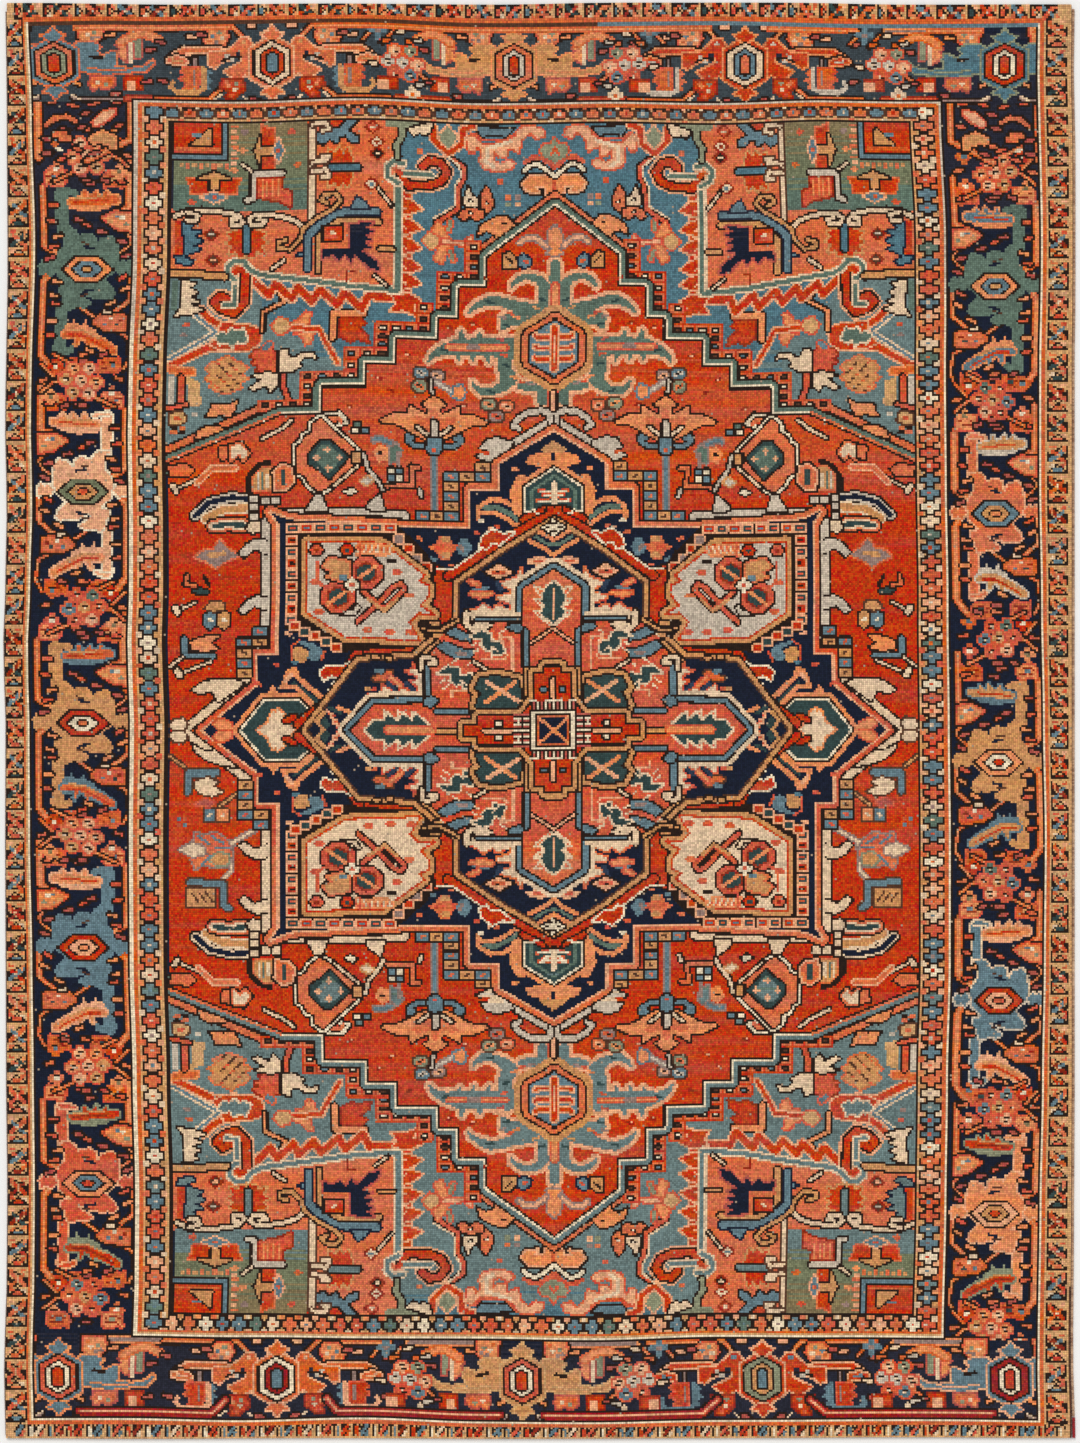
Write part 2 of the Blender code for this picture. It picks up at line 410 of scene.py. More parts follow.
class Medallion:
    """The stepped medallion, drawn a quarter at a time."""

    def body(self, q: Pen) -> None:
        """The navy body with its coral band, and the pale hooked line round it."""
        q.sketch("MIST BROWN 4.4: 141.6,53 ,102")
        for y in (62, 90):
            q.at(0, y).sketch("MIST BROWN: 141,3 ,-3 147,-1 152,-5 154.6,-3 151,1.4 146,4")
            q.block(MIST, 140, y - 3, 143, y + 3)
        q.sketch("""
    MIST BROWN 3: 137,107 84, 82,105.5 73, 72,99  MIST BROWN: 122,107 117,115 114, 111,107
    MIST BROWN: 92,108 91,111 85,115.5 83,107  CREAM BROWN 3.6: 182.2,.4 148.7,26.7""")
        q.only(0, 1).area(CREAM, "152,23 157,25 171,24.5 178,20 174,18 168,19.5 165,14", BROWN)
        q.only(2, 3).area(CREAM, "178,7 176.6,10.6 171,15 164,17.4 155,19 166,10 172,10.4", BROWN)
        q.sketch("""
    CREAM UMBER: 189,2.6 187,5.8 182.6,6 180.6,3.4 182,.8 187.6,.6  MIST BROWN 3: 2,152 24,139
    MIST BROWN: 20,142 28,144.5 33,143 36,139 32,138.5 38,135 34,133.5 31,131 22,137
    FLAME 1.6: 32,136.5 36,137.5
    MIST BROWN leaves: 1.6,149,2 ,156,3 6,157.4, 12,156.6,2.8 17,154,2.6 20,150,2.4 17,148.6,2
    CORAL 1.8: 8.5,153.4 13,153  PEACH BROWN 2.2: 0,158 ,166""")
        q.shell(NAVY, NAVY_EDGE, PEACH, SALMON, SALMON, BROWN)

    def tiles(self, q: Pen) -> None:
        """Chains of blue and camel tiles that climb the steps."""
        west = (151.7, 28.2), (151.7, 33.2), (151.7, 38.2), (151.7, 43.2), (143.7, 43.2), (143.7, 48.2)
        west_steel = (1, 3, 5)
        north = path("64.5,105.2 57.5, 50.3, ,110 ,115 ,120 ,124.7 42.4, 34.6, ,129.4")
        north_steel = (0, 2, 4, 6, 8)
        for chain, steel in ((west, west_steel), (north, north_steel)):
            for i, (x, y) in enumerate(chain):
                wool, heart = (STEEL, SALMON) if i in steel else (CAMEL, UMBER)
                q.block(wool, x - 3.3, y - 1.9, x + 3.3, y + 1.9, BROWN)
                q.line(heart, f"{x - 0.8},{y - 0.4} {x + 0.8},{y + 0.4}", 1.4)

    def flowers(self, q: Pen) -> None:
        """Small blossoms loose on the navy."""
        f = q.at(53, 90)
        f.sketch("SALMON: -8,-1 -3,-2 -2,-6 3, 5,-2 9,0 5,2 3,6 -2, -3,2")
        for x, y in ((0, 4), (0, -4), (-5, 0), (3, 0)):
            f.line(CAMEL if x == 0 else CORAL, f"{x - 1},{y} {x + 1},{y}", 3)
        f = q.at(44, 90)
        f.sketch("""
    STEEL: -4,0 -1,-4.5 3,-3 4,0 2,4 -1,5  MAUVE 2: 1,-1 2,1""")
        f = q.at(120, 38.5)
        f.sketch("""
    CAMEL: 8,-2 6,-5.5 1,-5 0,0 3,2 7,  STEEL: 1,-3.5 -1,1 2,3 6,4.5 3,5 -2,4 -7,1 ,-3 -3,-5
    CORAL 1: 8.5,-4 8,3 4,5.5  CORAL 1.4: -6,-4.5 -8,0""")
        q.dabs("-.9,0 .9,.4", 1.9, """
            SALMON 66,94 50,81 PEACH 130,47 CORAL 136,32 38,97 PEACH 31,99.5 CORAL 28,100.5 APRICOT 19,128.5
            IVORY 36,103 CORAL 145,22.5 SKY 127,33 STEEL 59,84""")

    def north(self, q: Pen) -> None:
        """The hexagon in the upper and lower points, with its crown and curling leaves."""
        q.sketch("""
    CAMEL: -1,143 5,139.5 7,137.5 3,136.5 -1,137  APRICOT: 1,136.6 6,137 13,135 14,131.5 8,130 1,130.5
    APRICOT 2.4: 37.5,105 37,110 31,114 25,113.4 20,110.5  SEA 2.4: 34,109.8 28,110 22,107 16,102.6 12,100
    APRICOT 2.2: 37,107 30,107.5 25,105.5 15,98.5  APRICOT: 20,106 22,118 18,126 14, 16,106
    PINE IVORY BROWN APRICOT APRICOT shell: 14,100 ,119.5 0,128.5  SEA 1.4: 11,108 ,118 0,125.5""")
        for y, half in ((112.5, 7.5), (115.2, 4.5), (117.2, 6.5)):
            q.line(CORAL, f"0,{y} {half + 0.8},{y + 0.8}", 1.9)
            q.line(IVORY, f"0,{y} {half},{y + 0.6}", 1.2)
        q.sketch("""
    CREAM 2.4: 0,110.5 ,121.5  FLAME BROWN 3.4: 15,104 9,106.5 5,108.5 1,109
    IVORY 1: 14,107.6 10,108.6 9,106.8 6,107""")

    def west(self, q: Pen) -> None:
        """The hexagon in the side points, with its buds, its leaf and the red double hook."""
        q.sketch("""
    APRICOT CORAL: 158,1 161,.4 165,.6 167.6,3 165.6,5.6 162,5 159,3.4
    APRICOT 2.6: 133,21 130,28.5 127,30 126,26 113,15  PEACH 2: 131.5,24 129,27  PINE 1.9: 127.5,23 116,13.5
    APRICOT 2: 132,21 127, 117,12  PINE IVORY BROWN APRICOT APRICOT shell: 154,0 142,14.5 126, 120,9 108,0
    APRICOT: 141,18 138,22.5 135,18
    CREAM APRICOT: 146,0 141,3.5 138.5,9.5 136.5,8 136,10.5 133,8 134,4 131,3.5 128,0
    FLAME BROWN 2.6: 132,4.5 128,6.5 124,4""")

    def arms(self, q: Pen) -> None:
        """The red bands that cross at the tips, with their hooks, and the red ground inside the panels."""
        q.sketch("""
    FLAME BROWN: 51,78 60,82 62,62 72,40 98, 97,33 68, 44,53 ,70
    FLAME BROWN 4: -2,108.2 0,107 12,101 31,90 52,76  FLAME BROWN 4: 126,3 112,13.5 105,22 96,38
    IVORY 1: 30,93.6 50,79.2 59,79  IVORY 1: 112,17.4 107,24.4 100,33
    FLAME IVORY: 20,97.6 25,96.6 30,99 35,95.4 36.4,91 33,89.6 31,92.6 26.6,92
    FLAME IVORY: 103,25.6 109,26.6 113,24.4 114.4,28.6 111,31 104,30.6 99,33
    APRICOT BROWN 1.9: 0,103.6 14,95.4 30,85.4 46,74.5  CAMEL BROWN 1.9: 121,2 108,12 101,21 93,35""")

    def crossings(self, q: Pen) -> None:
        """The knots of arcs where the bands cross, at each tip."""
        q.area(IVORY, "-1,104 6,100 -1,95.4", BROWN)
        q.dabs("0,0 1.2,0", 0.9, ".5,102 2.6,100 .5,98.2", BROWN)
        q.sketch("""
    APRICOT 2: 0,93.6 7.5,98  SEA 1.6: 0,91.4 3,91.6 9,95.4  APRICOT 2.2: 0,86 5,90 12,93.4
    PEACH: 0,83 6,86 12,85 14,82.6 8,81 2,80.6  CORAL 1.2: 6,83 10,  PEACH BROWN: 27,82 34,78 27,74.6 20,78
    CORAL 2.2: 24.5,78 29.5,  BROWN 1.2: 26.6,78 27.6,78.4  CAMEL 1.8: 113,-1 117,4.6 113,8.8
    PINE: 112.6,0 115.4,4 112.6,6.6 110,2""")
        for x, y in ((109, 7.5), (107, 4.4), (105.5, 1.4)):
            q.line(PEACH, f"{x},{y} {x + 3},{y + 2.2}", 1.4)
            q.line(CORAL, f"{x - 1},{y - 1} {x + 1.6},{y}", 1.0)
        q.sketch("""
    APRICOT 2: 106,11 99,8 96,4  PINE 1.8: 110,10.6 105,8""")

    def panel(self, q: Pen, field: int) -> None:
        """An octagonal panel with its border of small squares."""
        q.area(BROWN, "132,102 78,101.5 63,88 58,80 60,42 104,38 132,50")
        for i in range(8):
            x = 128.4 - i * 6.8
            q.block(FLAME if i % 2 else PINE, x - 2.2, 97.4, x + 2.2, 100.6, PEACH)
            q.line(STEEL if i % 2 else CORAL, f"{x - 0.6},99 {x + 0.6},99", 1.6)
        for i in range(8):
            y = 93 - i * 5.6
            q.block(PINE if i % 2 else FLAME, 126.6, y - 1.6, 131, y + 1.6, PEACH)
            q.line(CORAL if i % 2 else BROWN, f"127.6,{y} 129,{y}", 1.2)
        for i in range(4):
            x, y = 76 - i * 4.4, 93.6 - i * 4.6
            q.block(FLAME if i % 2 else MAUVE, x - 1.8, y - 1.6, x + 1.8, y + 1.6, PEACH)
        for i in range(5):
            x, y = 127 - i * 5.2, 51 - i * 2.6
            q.block(PINE if i % 2 else FLAME, x - 1.9, y - 1.5, x + 1.9, y + 1.5, PEACH)
        outline = "121,92 84,91 68,79 64,76 67,73 62,71 62,66 66,61 59,57 66,58 71,53 66,44.5 102,46 121,58"
        q.area(field, outline, FLAME, CAMEL, CAMEL, BROWN)
        q.area(field, outline)
        self.bouquet(q)

    def bouquet(self, q: Pen) -> None:
        """Two ringed blossoms and a branch across a panel, with sprigs in its corners."""
        q.area(APRICOT, "98,85 97,91.5 79,91 78,88 82,85")
        for x in range(80, 98, 3):
            q.line(CREAM, f"{x},90 {x + 1},87", 1)
            q.line(CORAL, f"{x + 1},90 {x + 2},88", 0.8)
        q.sketch("""
    CORAL BROWN 2.2: 94,68 83,59 73,69 75,72 79,70 88,60 96,53  CAMEL 1.8: 91,64 83,58.5 77,64
    MIST BROWN 1.8: 104,57 98, 96,60""")
        for x, y in ((106, 65), (92, 77)):
            q.area(CORAL, f"{x - 8},{y - 3} {x - 3},{y - 7.5} {x + 3},{y - 7.5} {x + 8},{y - 3} "
                   f"{x + 8},{y + 3} {x + 3},{y + 7.5} {x - 3},{y + 7.5} {x - 8},{y + 3}", BROWN)
            q.area(PINE, f"{x - 4.5},{y - 2} {x},{y - 4.5} {x + 4.5},{y - 2} {x + 4.5},{y + 2} {x},{y + 4.5} "
                   f"{x - 4.5},{y + 2}", BRICK)
            q.line(APRICOT, f"{x + 5},{y - 3.5} {x - 5},{y + 3.5}", 1.8)
        q.sketch("""
    CAMEL SALMON BROWN: 113,80 110,84 100.5,82 ,74 104,73 111,75 108,77  STEEL block: 101.5,73.5 105,75.5
    IVORY BROWN 3.4: 97,71 101,  IVORY 2.4: 99,68.5 ,73.5  CORAL 1.6: 98.6,71 99.6,
    CORAL 1.6: 116,82 ,72 112,70""")
        for x, y, wool, heart in ((116.5, 88, CORAL, BRICK), (101.5, 88, FLAME, PINE)):
            q.at(x, y).area(wool, "-3.4,0 -1.5,-2.6 1.5,-2.6 3.4,0 1.5,2.6 -1.5,2.6", BROWN)
            q.line(heart, f"{x - 0.6},{y} {x + 0.6},{y}", 1.6)
        q.dabs("-1.4,0 1.4,0", 2.4, """
            CORAL 77,77.5 80,48 115,58 SALMON 71,66 BROWN 80,83 CORAL 117,72.5 SALMON 91,49 CORAL 70,48""")
        q.sketch("CORAL 1: 95.5,92 ,85")

    def inner_ring(self, q: Pen) -> None:
        """The navy ring round the middle cross, with its ivory combs."""
        q.shell(NAVY, INNER_EDGE, UMBER, CAMEL, CAMEL, BROWN)
        q.sketch("""
    CORAL: 66.6,34.6 69,34 ,31 66.6,
    CREAM SALMON: 95,13 90,17.6 84.4,17.4 84.2,21.8 82.6,21.2 76,17.4 75.4, 75,21.8 73.6,21 68.4,17
      66.6,17.8 ,21.6 70,24.2 66.8,24.6 ,27 72.6,29.2 66.8,29.8 66.6,34 63.4,35 63.2,18 66,14.6 90,
    CREAM SALMON: 15.8,80 18.4,75.2 25.4,73 25.6,71.8 20.6,69.8 ,67.2 27.6,66.2 ,65 20.6,62.6 ,58.8
      23.6,59.6 26.4,61.8 28.8,61.6 29.4,58.8 31.4,60.4 34.4,62.4 38.2,59.2 43,58.4 43.4,56.2 18.4,56
      16.6,54.4 15.8,64  ORANGE 1: 62.6,18 ,32  ORANGE 1: 16.6,54 ,64  ORANGE 1: 37,56.2 20,""")
        q.dabs("-.6,0 .6,0", 2, "CAMEL 91,20 CORAL 88,20 SAGE 81,28.6")
        q.sketch("""
    DUSK leaves: 72.6,22.6,2.6 68.6,19.6,1.4 / 81,22.6,2.6 77.4,19.6,1.4 / 26,70,3 29,76,2
    ORANGE UMBER leaves: 87.6,25.4,2 84,,3 80.4,27.6,3.4  APRICOT CORAL 1.6: 80,26 75,21.8
    STEEL leaves: 87,29,2 84.4,28.8,3 / 39.6,69,1.4 36,70,2.4 32.6,70.4,1.6
    APRICOT CORAL leaves: 40.6,67.4,1 36,67,3 30.6,67.6,1.4 / 41,73.4,1.4 37,71.8,""")
        q.dabs("-.8,0 .8,0", 1.8, "87,35.8 80.4,35.2", CAMEL, BROWN)
        q.dabs("0,0 -4,0", 1.3, "64,50 58,46.5 60,52.6", CAMEL, BROWN)

    def cross(self, q: Pen) -> None:
        """The coral cross in the middle, with its leaves and rosettes."""
        q.shell(SALMON, CROSS_EDGE, BROWN, STEEL, STEEL, BROWN, CREAM, CREAM)
        q.sketch("""
    SALMON: 60,29 61.6,34 66,35.4 57,43.6 46,54.4 42,54 24,51.6 30,45 50,33
    CAMEL BROWN 1.3: 67,34.4 56.6,43.6  CAMEL BROWN 1.3: 46.4,54.4 56,48.8 61,49.4
    CREAM BROWN 2: 65,30 ,35.2 61.4,36 58,34.6 57.6,33.2 60.6,32.8
    CREAM BROWN 2.2: 42.6,58 ,52.2 40,50 34.6, 31.8,52 34,53.2 38.4,51.8  STEEL BROWN 1.7: 37,55 17,
    CREAM: 16,56.6 43.6, ,58.6 16,  STEEL BROWN: 64,12.6 60.4,11.6 58.8,12.4 56.6,14.8 60,17 63,16
    STEEL BROWN: 22.4,51 20,53 16.4,52.4 14,49.6 13,46.6 16,48.4 20,49.4
    STEEL BROWN: 57,41.5 52.5,44 46,40.5 39,39.5 40,36 48, 52.5,38
    STEEL BROWN: 52.5,48 48,50.5 41,47 40,44 47,45.4  CORAL 1.3: 52,44.5 44,42.6  MAUVE 1.6: 47,38 43,
    STEEL BROWN 2: 57.5,9.4 43,9.2  STEEL BROWN 2.2: 13.4,31 ,49""")
        for leaf in (q.at(46.5, 25.5), q.at(31, 42.5, turn=8)):
            leaf.sketch("""
    PINE CREAM: 10,2.5 5,6 0,5 -1,1 -6,2.5 -7.5,-3 -2,-5 -2.5,-1 1,-3 4,-.6 3.4,2.4
    CREAM 0.8: -1,-.6 -5,-3.4""")
            leaf.dabs("0,0 -2.6,1.8", 1, "9,-2 7.6,-5 3,8 -4,6.4", CREAM)
        q.sketch("""
    PEACH 1.3: 50,16.6 ,19.4 37,  PEACH 1.5: 24,42 26,46.6 20,45.6 ,28.6  PEACH 1.1: 35,35 24, 22.6,37
    CREAM BROWN 1.2: 39,34 33,30.4 30,27.6  CAMEL BROWN 1.9: 58,0 48,
    PINE CREAM: 93,-.6 88.6,4.8 83.6, 81.4,7.8 77.4,4.6 76.6,4.8 74,8 70,4.6 68,7.8 60,1.2 59.4,-.6
    PINE CREAM: -.6,73 3,71 5.4,67 6,64 4,61 6.4,58.6 4.4,56 -.6,52.6  CREAM 1.1: 83.6,5 ,9.6 82.4,9 78,5.6
    CREAM 1.1: 77,5 ,9.8 75.6,9.2 70.6,5.8  CREAM 1.1: 69.6,5 ,9.2 68.4,9 60,1.8
    CREAM 1.1: 5.4,70 9.4,70.4 8.6,69 6,66  CREAM 1.1: 6,64.4 9.6,65 8.6,63.6 5,60.4
    CREAM 1.1: 6,58.8 9.2, 8,57 1.6,52  APRICOT CORAL 2.6: 81.6,0 60,  PEACH 1.2: 0,55 ,69.4
    PEACH BROWN 1: 0,50.4 6,46 11,43
    PINE BROWN CAMEL CAMEL BROWN: 38.4,12 35,10.2 24, 17,12 16,18 17,24.6 24,26.4 30,26.8 36,25.6 38.4,21
      35,18.6 36.8,16  APRICOT 2.2: 33.6,14 18.6,24  PEACH 2.2: 32.4,24 17.4,14.6""")

    def heart(self, q: Pen) -> None:
        """The red stepped cross and the square in its middle."""
        q.sketch("""
    CAMEL BROWN 2.2: 12.6,14 ,30
    FLAME BROWN CAMEL CAMEL BROWN shell: 44,-.6 ,2.6 37, ,7 16, 9,16 ,28 4, ,31.4 -.6,
    PEACH BROWN 2: 34,0 21,  PEACH BROWN 2: 0,16.4 ,25  IVORY BROWN block: 26,2.6 28.8,4.6
    STEEL BROWN block: 3.6,19.6 6,20.8""")
        for y in range(9):
            q.line(IVORY if y % 3 == 0 else BROWN if y % 3 == 1 else ROSE, f"12,{y} 19,{y}", 1)
        q.sketch("""
    BROWN 1: 15.4,1.6 ,7  IVORY 1: 17.4,3 ,6""")
        for x in range(12):
            q.line(IVORY if x % 4 == 0 else BROWN if x % 2 == 1 else ROSE, f"{x},11 {x},14", 1)
        q.sketch("""
    IVORY 1: 8,14.4 11.4,  IVORY 1: 0,14.4 4,  IVORY BROWN block: -.6,-.6 11.2,9.8
    ORANGE BROWN block: -.6,-.6 8.2,7.2  NAVY block: -.6,-.6 7.2,6.2  APRICOT 1.5: 0,0 7.6,6.6""")

    def draw(self, q: Pen) -> None:
        """Draw every part, from the outside in."""
        self.body(q)
        self.tiles(q)
        self.flowers(q)
        self.north(q)
        self.west(q)
        self.arms(q)
        self.panel(q.only(0, 1), MIST)
        self.panel(q.only(2, 3), CREAM)
        self.inner_ring(q)
        self.crossings(q)
        self.cross(q)
        self.heart(q)


class RedGround:
    """The red ground round the medallion, its stepped edge on the blue, and its motifs."""

    def draw(self, q: Pen) -> None:
        """Draw the ground, then its edge of tiles and its motifs."""
        self.edge_tiles(q)
        q.shell(FLAME, RED_EDGE, BROWN, IVORY, SEA, SEA, BROWN)
        q.block(FLAME, -0.6, -0.6, 189, 130)
        self.tulip(q)
        self.lozenge(q)
        self.upper_flanks(q.only(0, 1))
        self.lower_flanks(q.only(2, 3))
        self.tusk(q)
        self.pendant(q)

    def edge_tiles(self, q: Pen) -> None:
        """Coral tiles with light or dark hearts, outside each step, and coral bands along the slants."""
        q.sketch("""
    SALMON BROWN 3: 0,263.6 39,235.4  SALMON BROWN 3: 140,160 191,137
    APRICOT BROWN: 20,249 24,253.4 30,252.6 37,248.6 38.4,243.6 34,246 30,244.4 28,240
    BROWN 1: 24.4,249.4 26,250
    APRICOT BROWN: 150,148.6 158,147.8 163,149 169,149.8 174,147.4 175.4,143 170,145 166,142.6 158,143.6""")
        corners = path(RED_EDGE)[1:-1]
        count = 0
        for (x0, y0), (x1, y1) in zip(corners, corners[1:]):
            steps = max(round((y0 - y1) / 4.6 if x0 == x1 else (x1 - x0) / 7.2), 1)
            for i in range(steps + 1):
                x, y = x0 + (x1 - x0) * i / steps + 7.4, y0 + (y1 - y0) * i / steps + 5.4
                q.block(SALMON, x - 3.3, y - 2.1, x + 3.3, y + 2.1, FLAME)
                heart = (IVORY, UMBER, STEEL, IVORY, UMBER)[count % 5]
                q.block(heart, x - 1.1, y - 0.5, x + 1.1, y + 0.5, BROWN)
                count += 1

    def tulip(self, q: Pen) -> None:
        """A spiky open flower on a blue stem, and the tiles beside it."""
        f = q.at(58.6, 150).doubled()
        f.sketch("""
    STEEL MAUVE 2.6: 0,-14 ,-41
    APRICOT BROWN: 0,14 2.6,12.6 6,10 3,8.4 3.4,5 8,7 12,9.6 13,5 19.6, 24,3 26.6,1.6 25,.4 20,.6 15,-1.6
      11,-4 5,-7 0,-8  SALMON: 0,9 2,7 2.4,3 9,4.4 12,3 8,-1 4,-3 0,-4  MIST BROWN 3: 0,-5 ,1
    CREAM BROWN 1.4: 3.6,-4.6 8.4,-1  STEEL BROWN 2.2: 2,-10.8 9,-10.6 13,-8 ,-5.8 10.6,-6.4
    STEEL BROWN: 0,-6 3.4,-7 3.6,-12 2,-14.4 0,-14.6  CORAL 1.8: 0,-12.4 .4,""")
        q.tiles(1.3, 1.3, "IVORY 79.6,127 STEEL 75.8,127 79.6,123.2 IVORY 75.8,123.2", 0, BROWN)
        q.sketch("""
    SALMON BROWN 1.8: 66,128.6 70,129.4 69,120 82,119.4  MIST BROWN 1.6: 66,118 65,115
    APRICOT: 81,132 ,138 85,140 88.6,136 86,131  SEA MAUVE: 80,131 76,133 74.6,137 77,140.4 80,138
    STEEL MAUVE 2: 80,140.6 85,142.6 88,142  BROWN 1.2: 84,135.6 85.6,  MAUVE 2: 76,136 ,130""")

    def lozenge(self, q: Pen) -> None:
        """A green lozenge with four small crosses, in a coral frame with a stepped edge and a curl."""
        f = q.at(110, 132.6)
        f.sketch("""
    IVORY BROWN 1.6: 2,22 -5,22.4 -9,18 -4,16.4 0,14.6  SALMON 2: 2,20 -4, -6,18
    SALMON BROWN IVORY BROWN: -15.6,0 -12,5 -2,14 4,20 8,17 ,13 12,11 13,8 16,6 ,-6 12,-8 10,-12 5,-16 1,-14
    PINE BROWN: -9.6,1 0,9.4 4,9 10,2.4 ,-2 4,-6 0,-10  SEA: -7,1 0,7 4, 8,1 3,-5 0,-7""")
        for x, y in ((1, 4.4), (6, 0.6), (-5, 0.6), (0.6, -4.4)):
            f.line(PEACH, f"{x - 1.2},{y} {x + 1.2},{y}", 1.3)
            f.line(PEACH, f"{x},{y - 1.2} {x},{y + 1.2}", 1.3)
        f.sketch("""
    CAMEL BROWN block: -15,-2 -11.6,3.4  MIST BROWN 1.6: -17,2 -19,-5 -24,-11 -26,-15
    CREAM BROWN 1.2: -14,-3.4 -2,-13.4""")
        q.tiles(1.5, 1.1, "IVORY 97,146.4 STEEL 92,146.4 SEA 96,149.6", 0, BROWN)
        q.sketch("""
    MIST CAMEL: 95,121.6 91,124 88.6,122 92,120  IVORY BROWN: 103,116.6 98.6,118.6 97,116.6 100,115
    CREAM BROWN 1.4: 143,143 133,148 128,152
    CREAM SALMON BROWN: 158,139.6 153,140.6 149.6,136 152,133 154,136 158,133
    SALMON BROWN: 164,139 159.4,140 ,133.6 163,132.6""")

    def upper_flanks(self, q: Pen) -> None:
        """The motifs at the upper sides: paired tiles, brackets with leaves, and pins."""
        for x, wool in ((168.4, STEEL), (161.6, CAMEL)):
            q.area(wool, f"{x - 3},52 {x},49.8 {x + 3},52 {x + 3},57 {x},58.6 {x - 3},57", BROWN)
            q.line(IVORY, f"{x - 0.6},54 {x + 0.6},54.6", 1.6)
        q.sketch("""
    CAMEL UMBER: 171,60 168,63.6 162,62.6 ,59.6 167,58.6  STEEL BROWN 2.6: 181,45 ,37 167,36.6
    APRICOT BROWN: 178,43.6 172,46 163.6,46.6 168,43 164,40.4 170,39 177,39.6""")
        for x0, y0, x1, y1 in ((184, 27.6, 168, 34), (185, 58.6, 176, 63)):
            q.line(CREAM, f"{x0},{y0} {x1},{y1}", 1.1, BROWN)
            q.line(CREAM, f"{x0 - 0.6},{y0 - 0.4} {x0 + 0.6},{y0 + 1.6}", 3, BROWN)
        q.line(CREAM, "189,31 182,36", 1.1, BROWN)
        f = q.at(165, 86)
        f.sketch("""
    MAUVE SALMON: -11,0 -5,3 -1,8 2,3 8,2 11,-1 5,-3 1,-6 -3,-3  CAMEL 2.6: -3,1 4,0""")
        q.sketch("""
    BROWN 2: 172,76 169,71  PINE BROWN 2.6: 176,69 171,68  SALMON BROWN 1.6: 180,76 181,72 176,71""")

    def lower_flanks(self, q: Pen) -> None:
        """The motifs at the lower sides: two brackets, paired tiles, and a blossom on a bent stem."""
        q.sketch("""
    STEEL UMBER 3.4: 180,31 ,22 166,21.6
    CREAM UMBER: 176,26 170,24 165,26.6 168,28.4 162.6,31.4 168,33.6 174,32 176.6,29
    CAMEL UMBER 1.1: 189,13 182,18.4  CAMEL UMBER 1.1: 164,38.4 154,31""")
        for x, wool in ((169, STEEL), (162.6, APRICOT)):
            q.block(wool, x - 2.6, 40.6, x + 2.6, 46.4, UMBER)
            q.line(CREAM, f"{x - 0.6},43 {x + 0.6},43.6", 1.5)
        q.area(ROSE, "176,37.6 172,35 167,36.4 169,39", SALMON)
        q.tiles(1, 1, "STEEL 184.4,45 CORAL 181.6,45 184.4,48 STEEL 181.6,48")
        q.sketch("""
    MIST MAUVE 1.3: 145,50 158,57.4 158.6,72 163,76.6
    SALMON MAUVE: 176,52 172,54 166,52 160,56.6 158,63 160,69.4 167,70 172,68 176,71 178,66 174,63 177,57
    CREAM MAUVE: 184,61 178,57.6 172,59.4 171,63 177,64.6
    CAMEL SAGE: 165,62.6 160,63.6 159.6,68 165,69.4 169,66""")
        for text in ("175,54 169,58", "168,54 162,58", "173,69 168,64", "166,60 160,"):
            q.line(STEEL, text, 1.4)
        q.block(CAMEL, 166.4, 80.6, 180, 90, UMBER)
        for x in (169, 172.4, 176):
            q.line(UMBER, f"{x - 1.4},87.6 {x + 2},83", 1)
        q.sketch("STEEL UMBER 3: 178.6,77.6 162.6,78.4 ,89 159.6,91")

    def tusk(self, q: Pen) -> None:
        """The crested scroll outside each panel's corner, under a striped fan."""
        q.sketch("""
    NAVY MIST BROWN 2.6: 176,105.6 169,112 158,114.6 149,113.6  CAMEL CREAM 3.4: 171,104 163,108.4 149,109.6
    PINE CREAM SALMON BROWN 2.4: 167,100.4 160,101.4 151,100.6
    CREAM BROWN: 151,99 148,96.6 144,98 144.6,102 149,103""")
        q.tiles(1.9, 1.6, "147,105 147,109.4 147,113.8 141.6,112.6 136.4,112.6", MIST, BROWN)
        q.sketch("""
    BROWN 3.2: 149.6,117.6 ,124 145,129.6 140,131.4  CAMEL SALMON: 147,118 ,124 143,128.6 138.6, 138,118""")
        for x, wool in ((144.8, MIST), (142.6, SEA), (140.4, CREAM)):
            q.line(wool, f"{x},119 {x},126", 1.2)
        q.sketch("""
    SALMON PEACH BROWN: 136.6,118 137,127 133,130 129,128.6 127.6,122 131,118.6  PINE 2.6: 132.6,121 ,126.6
    CREAM BROWN 1.1: 185,118.6 170,125.6  CREAM BROWN 2.4: 185,117.4 186.6,120
    SALMON PEACH 1.6: 175,121.6 167,129 156,  SALMON 1.2: 134.6,155.6 191,131.8
    SALMON BROWN: 189,130 180,130.6 176,128 179,125 188,""")

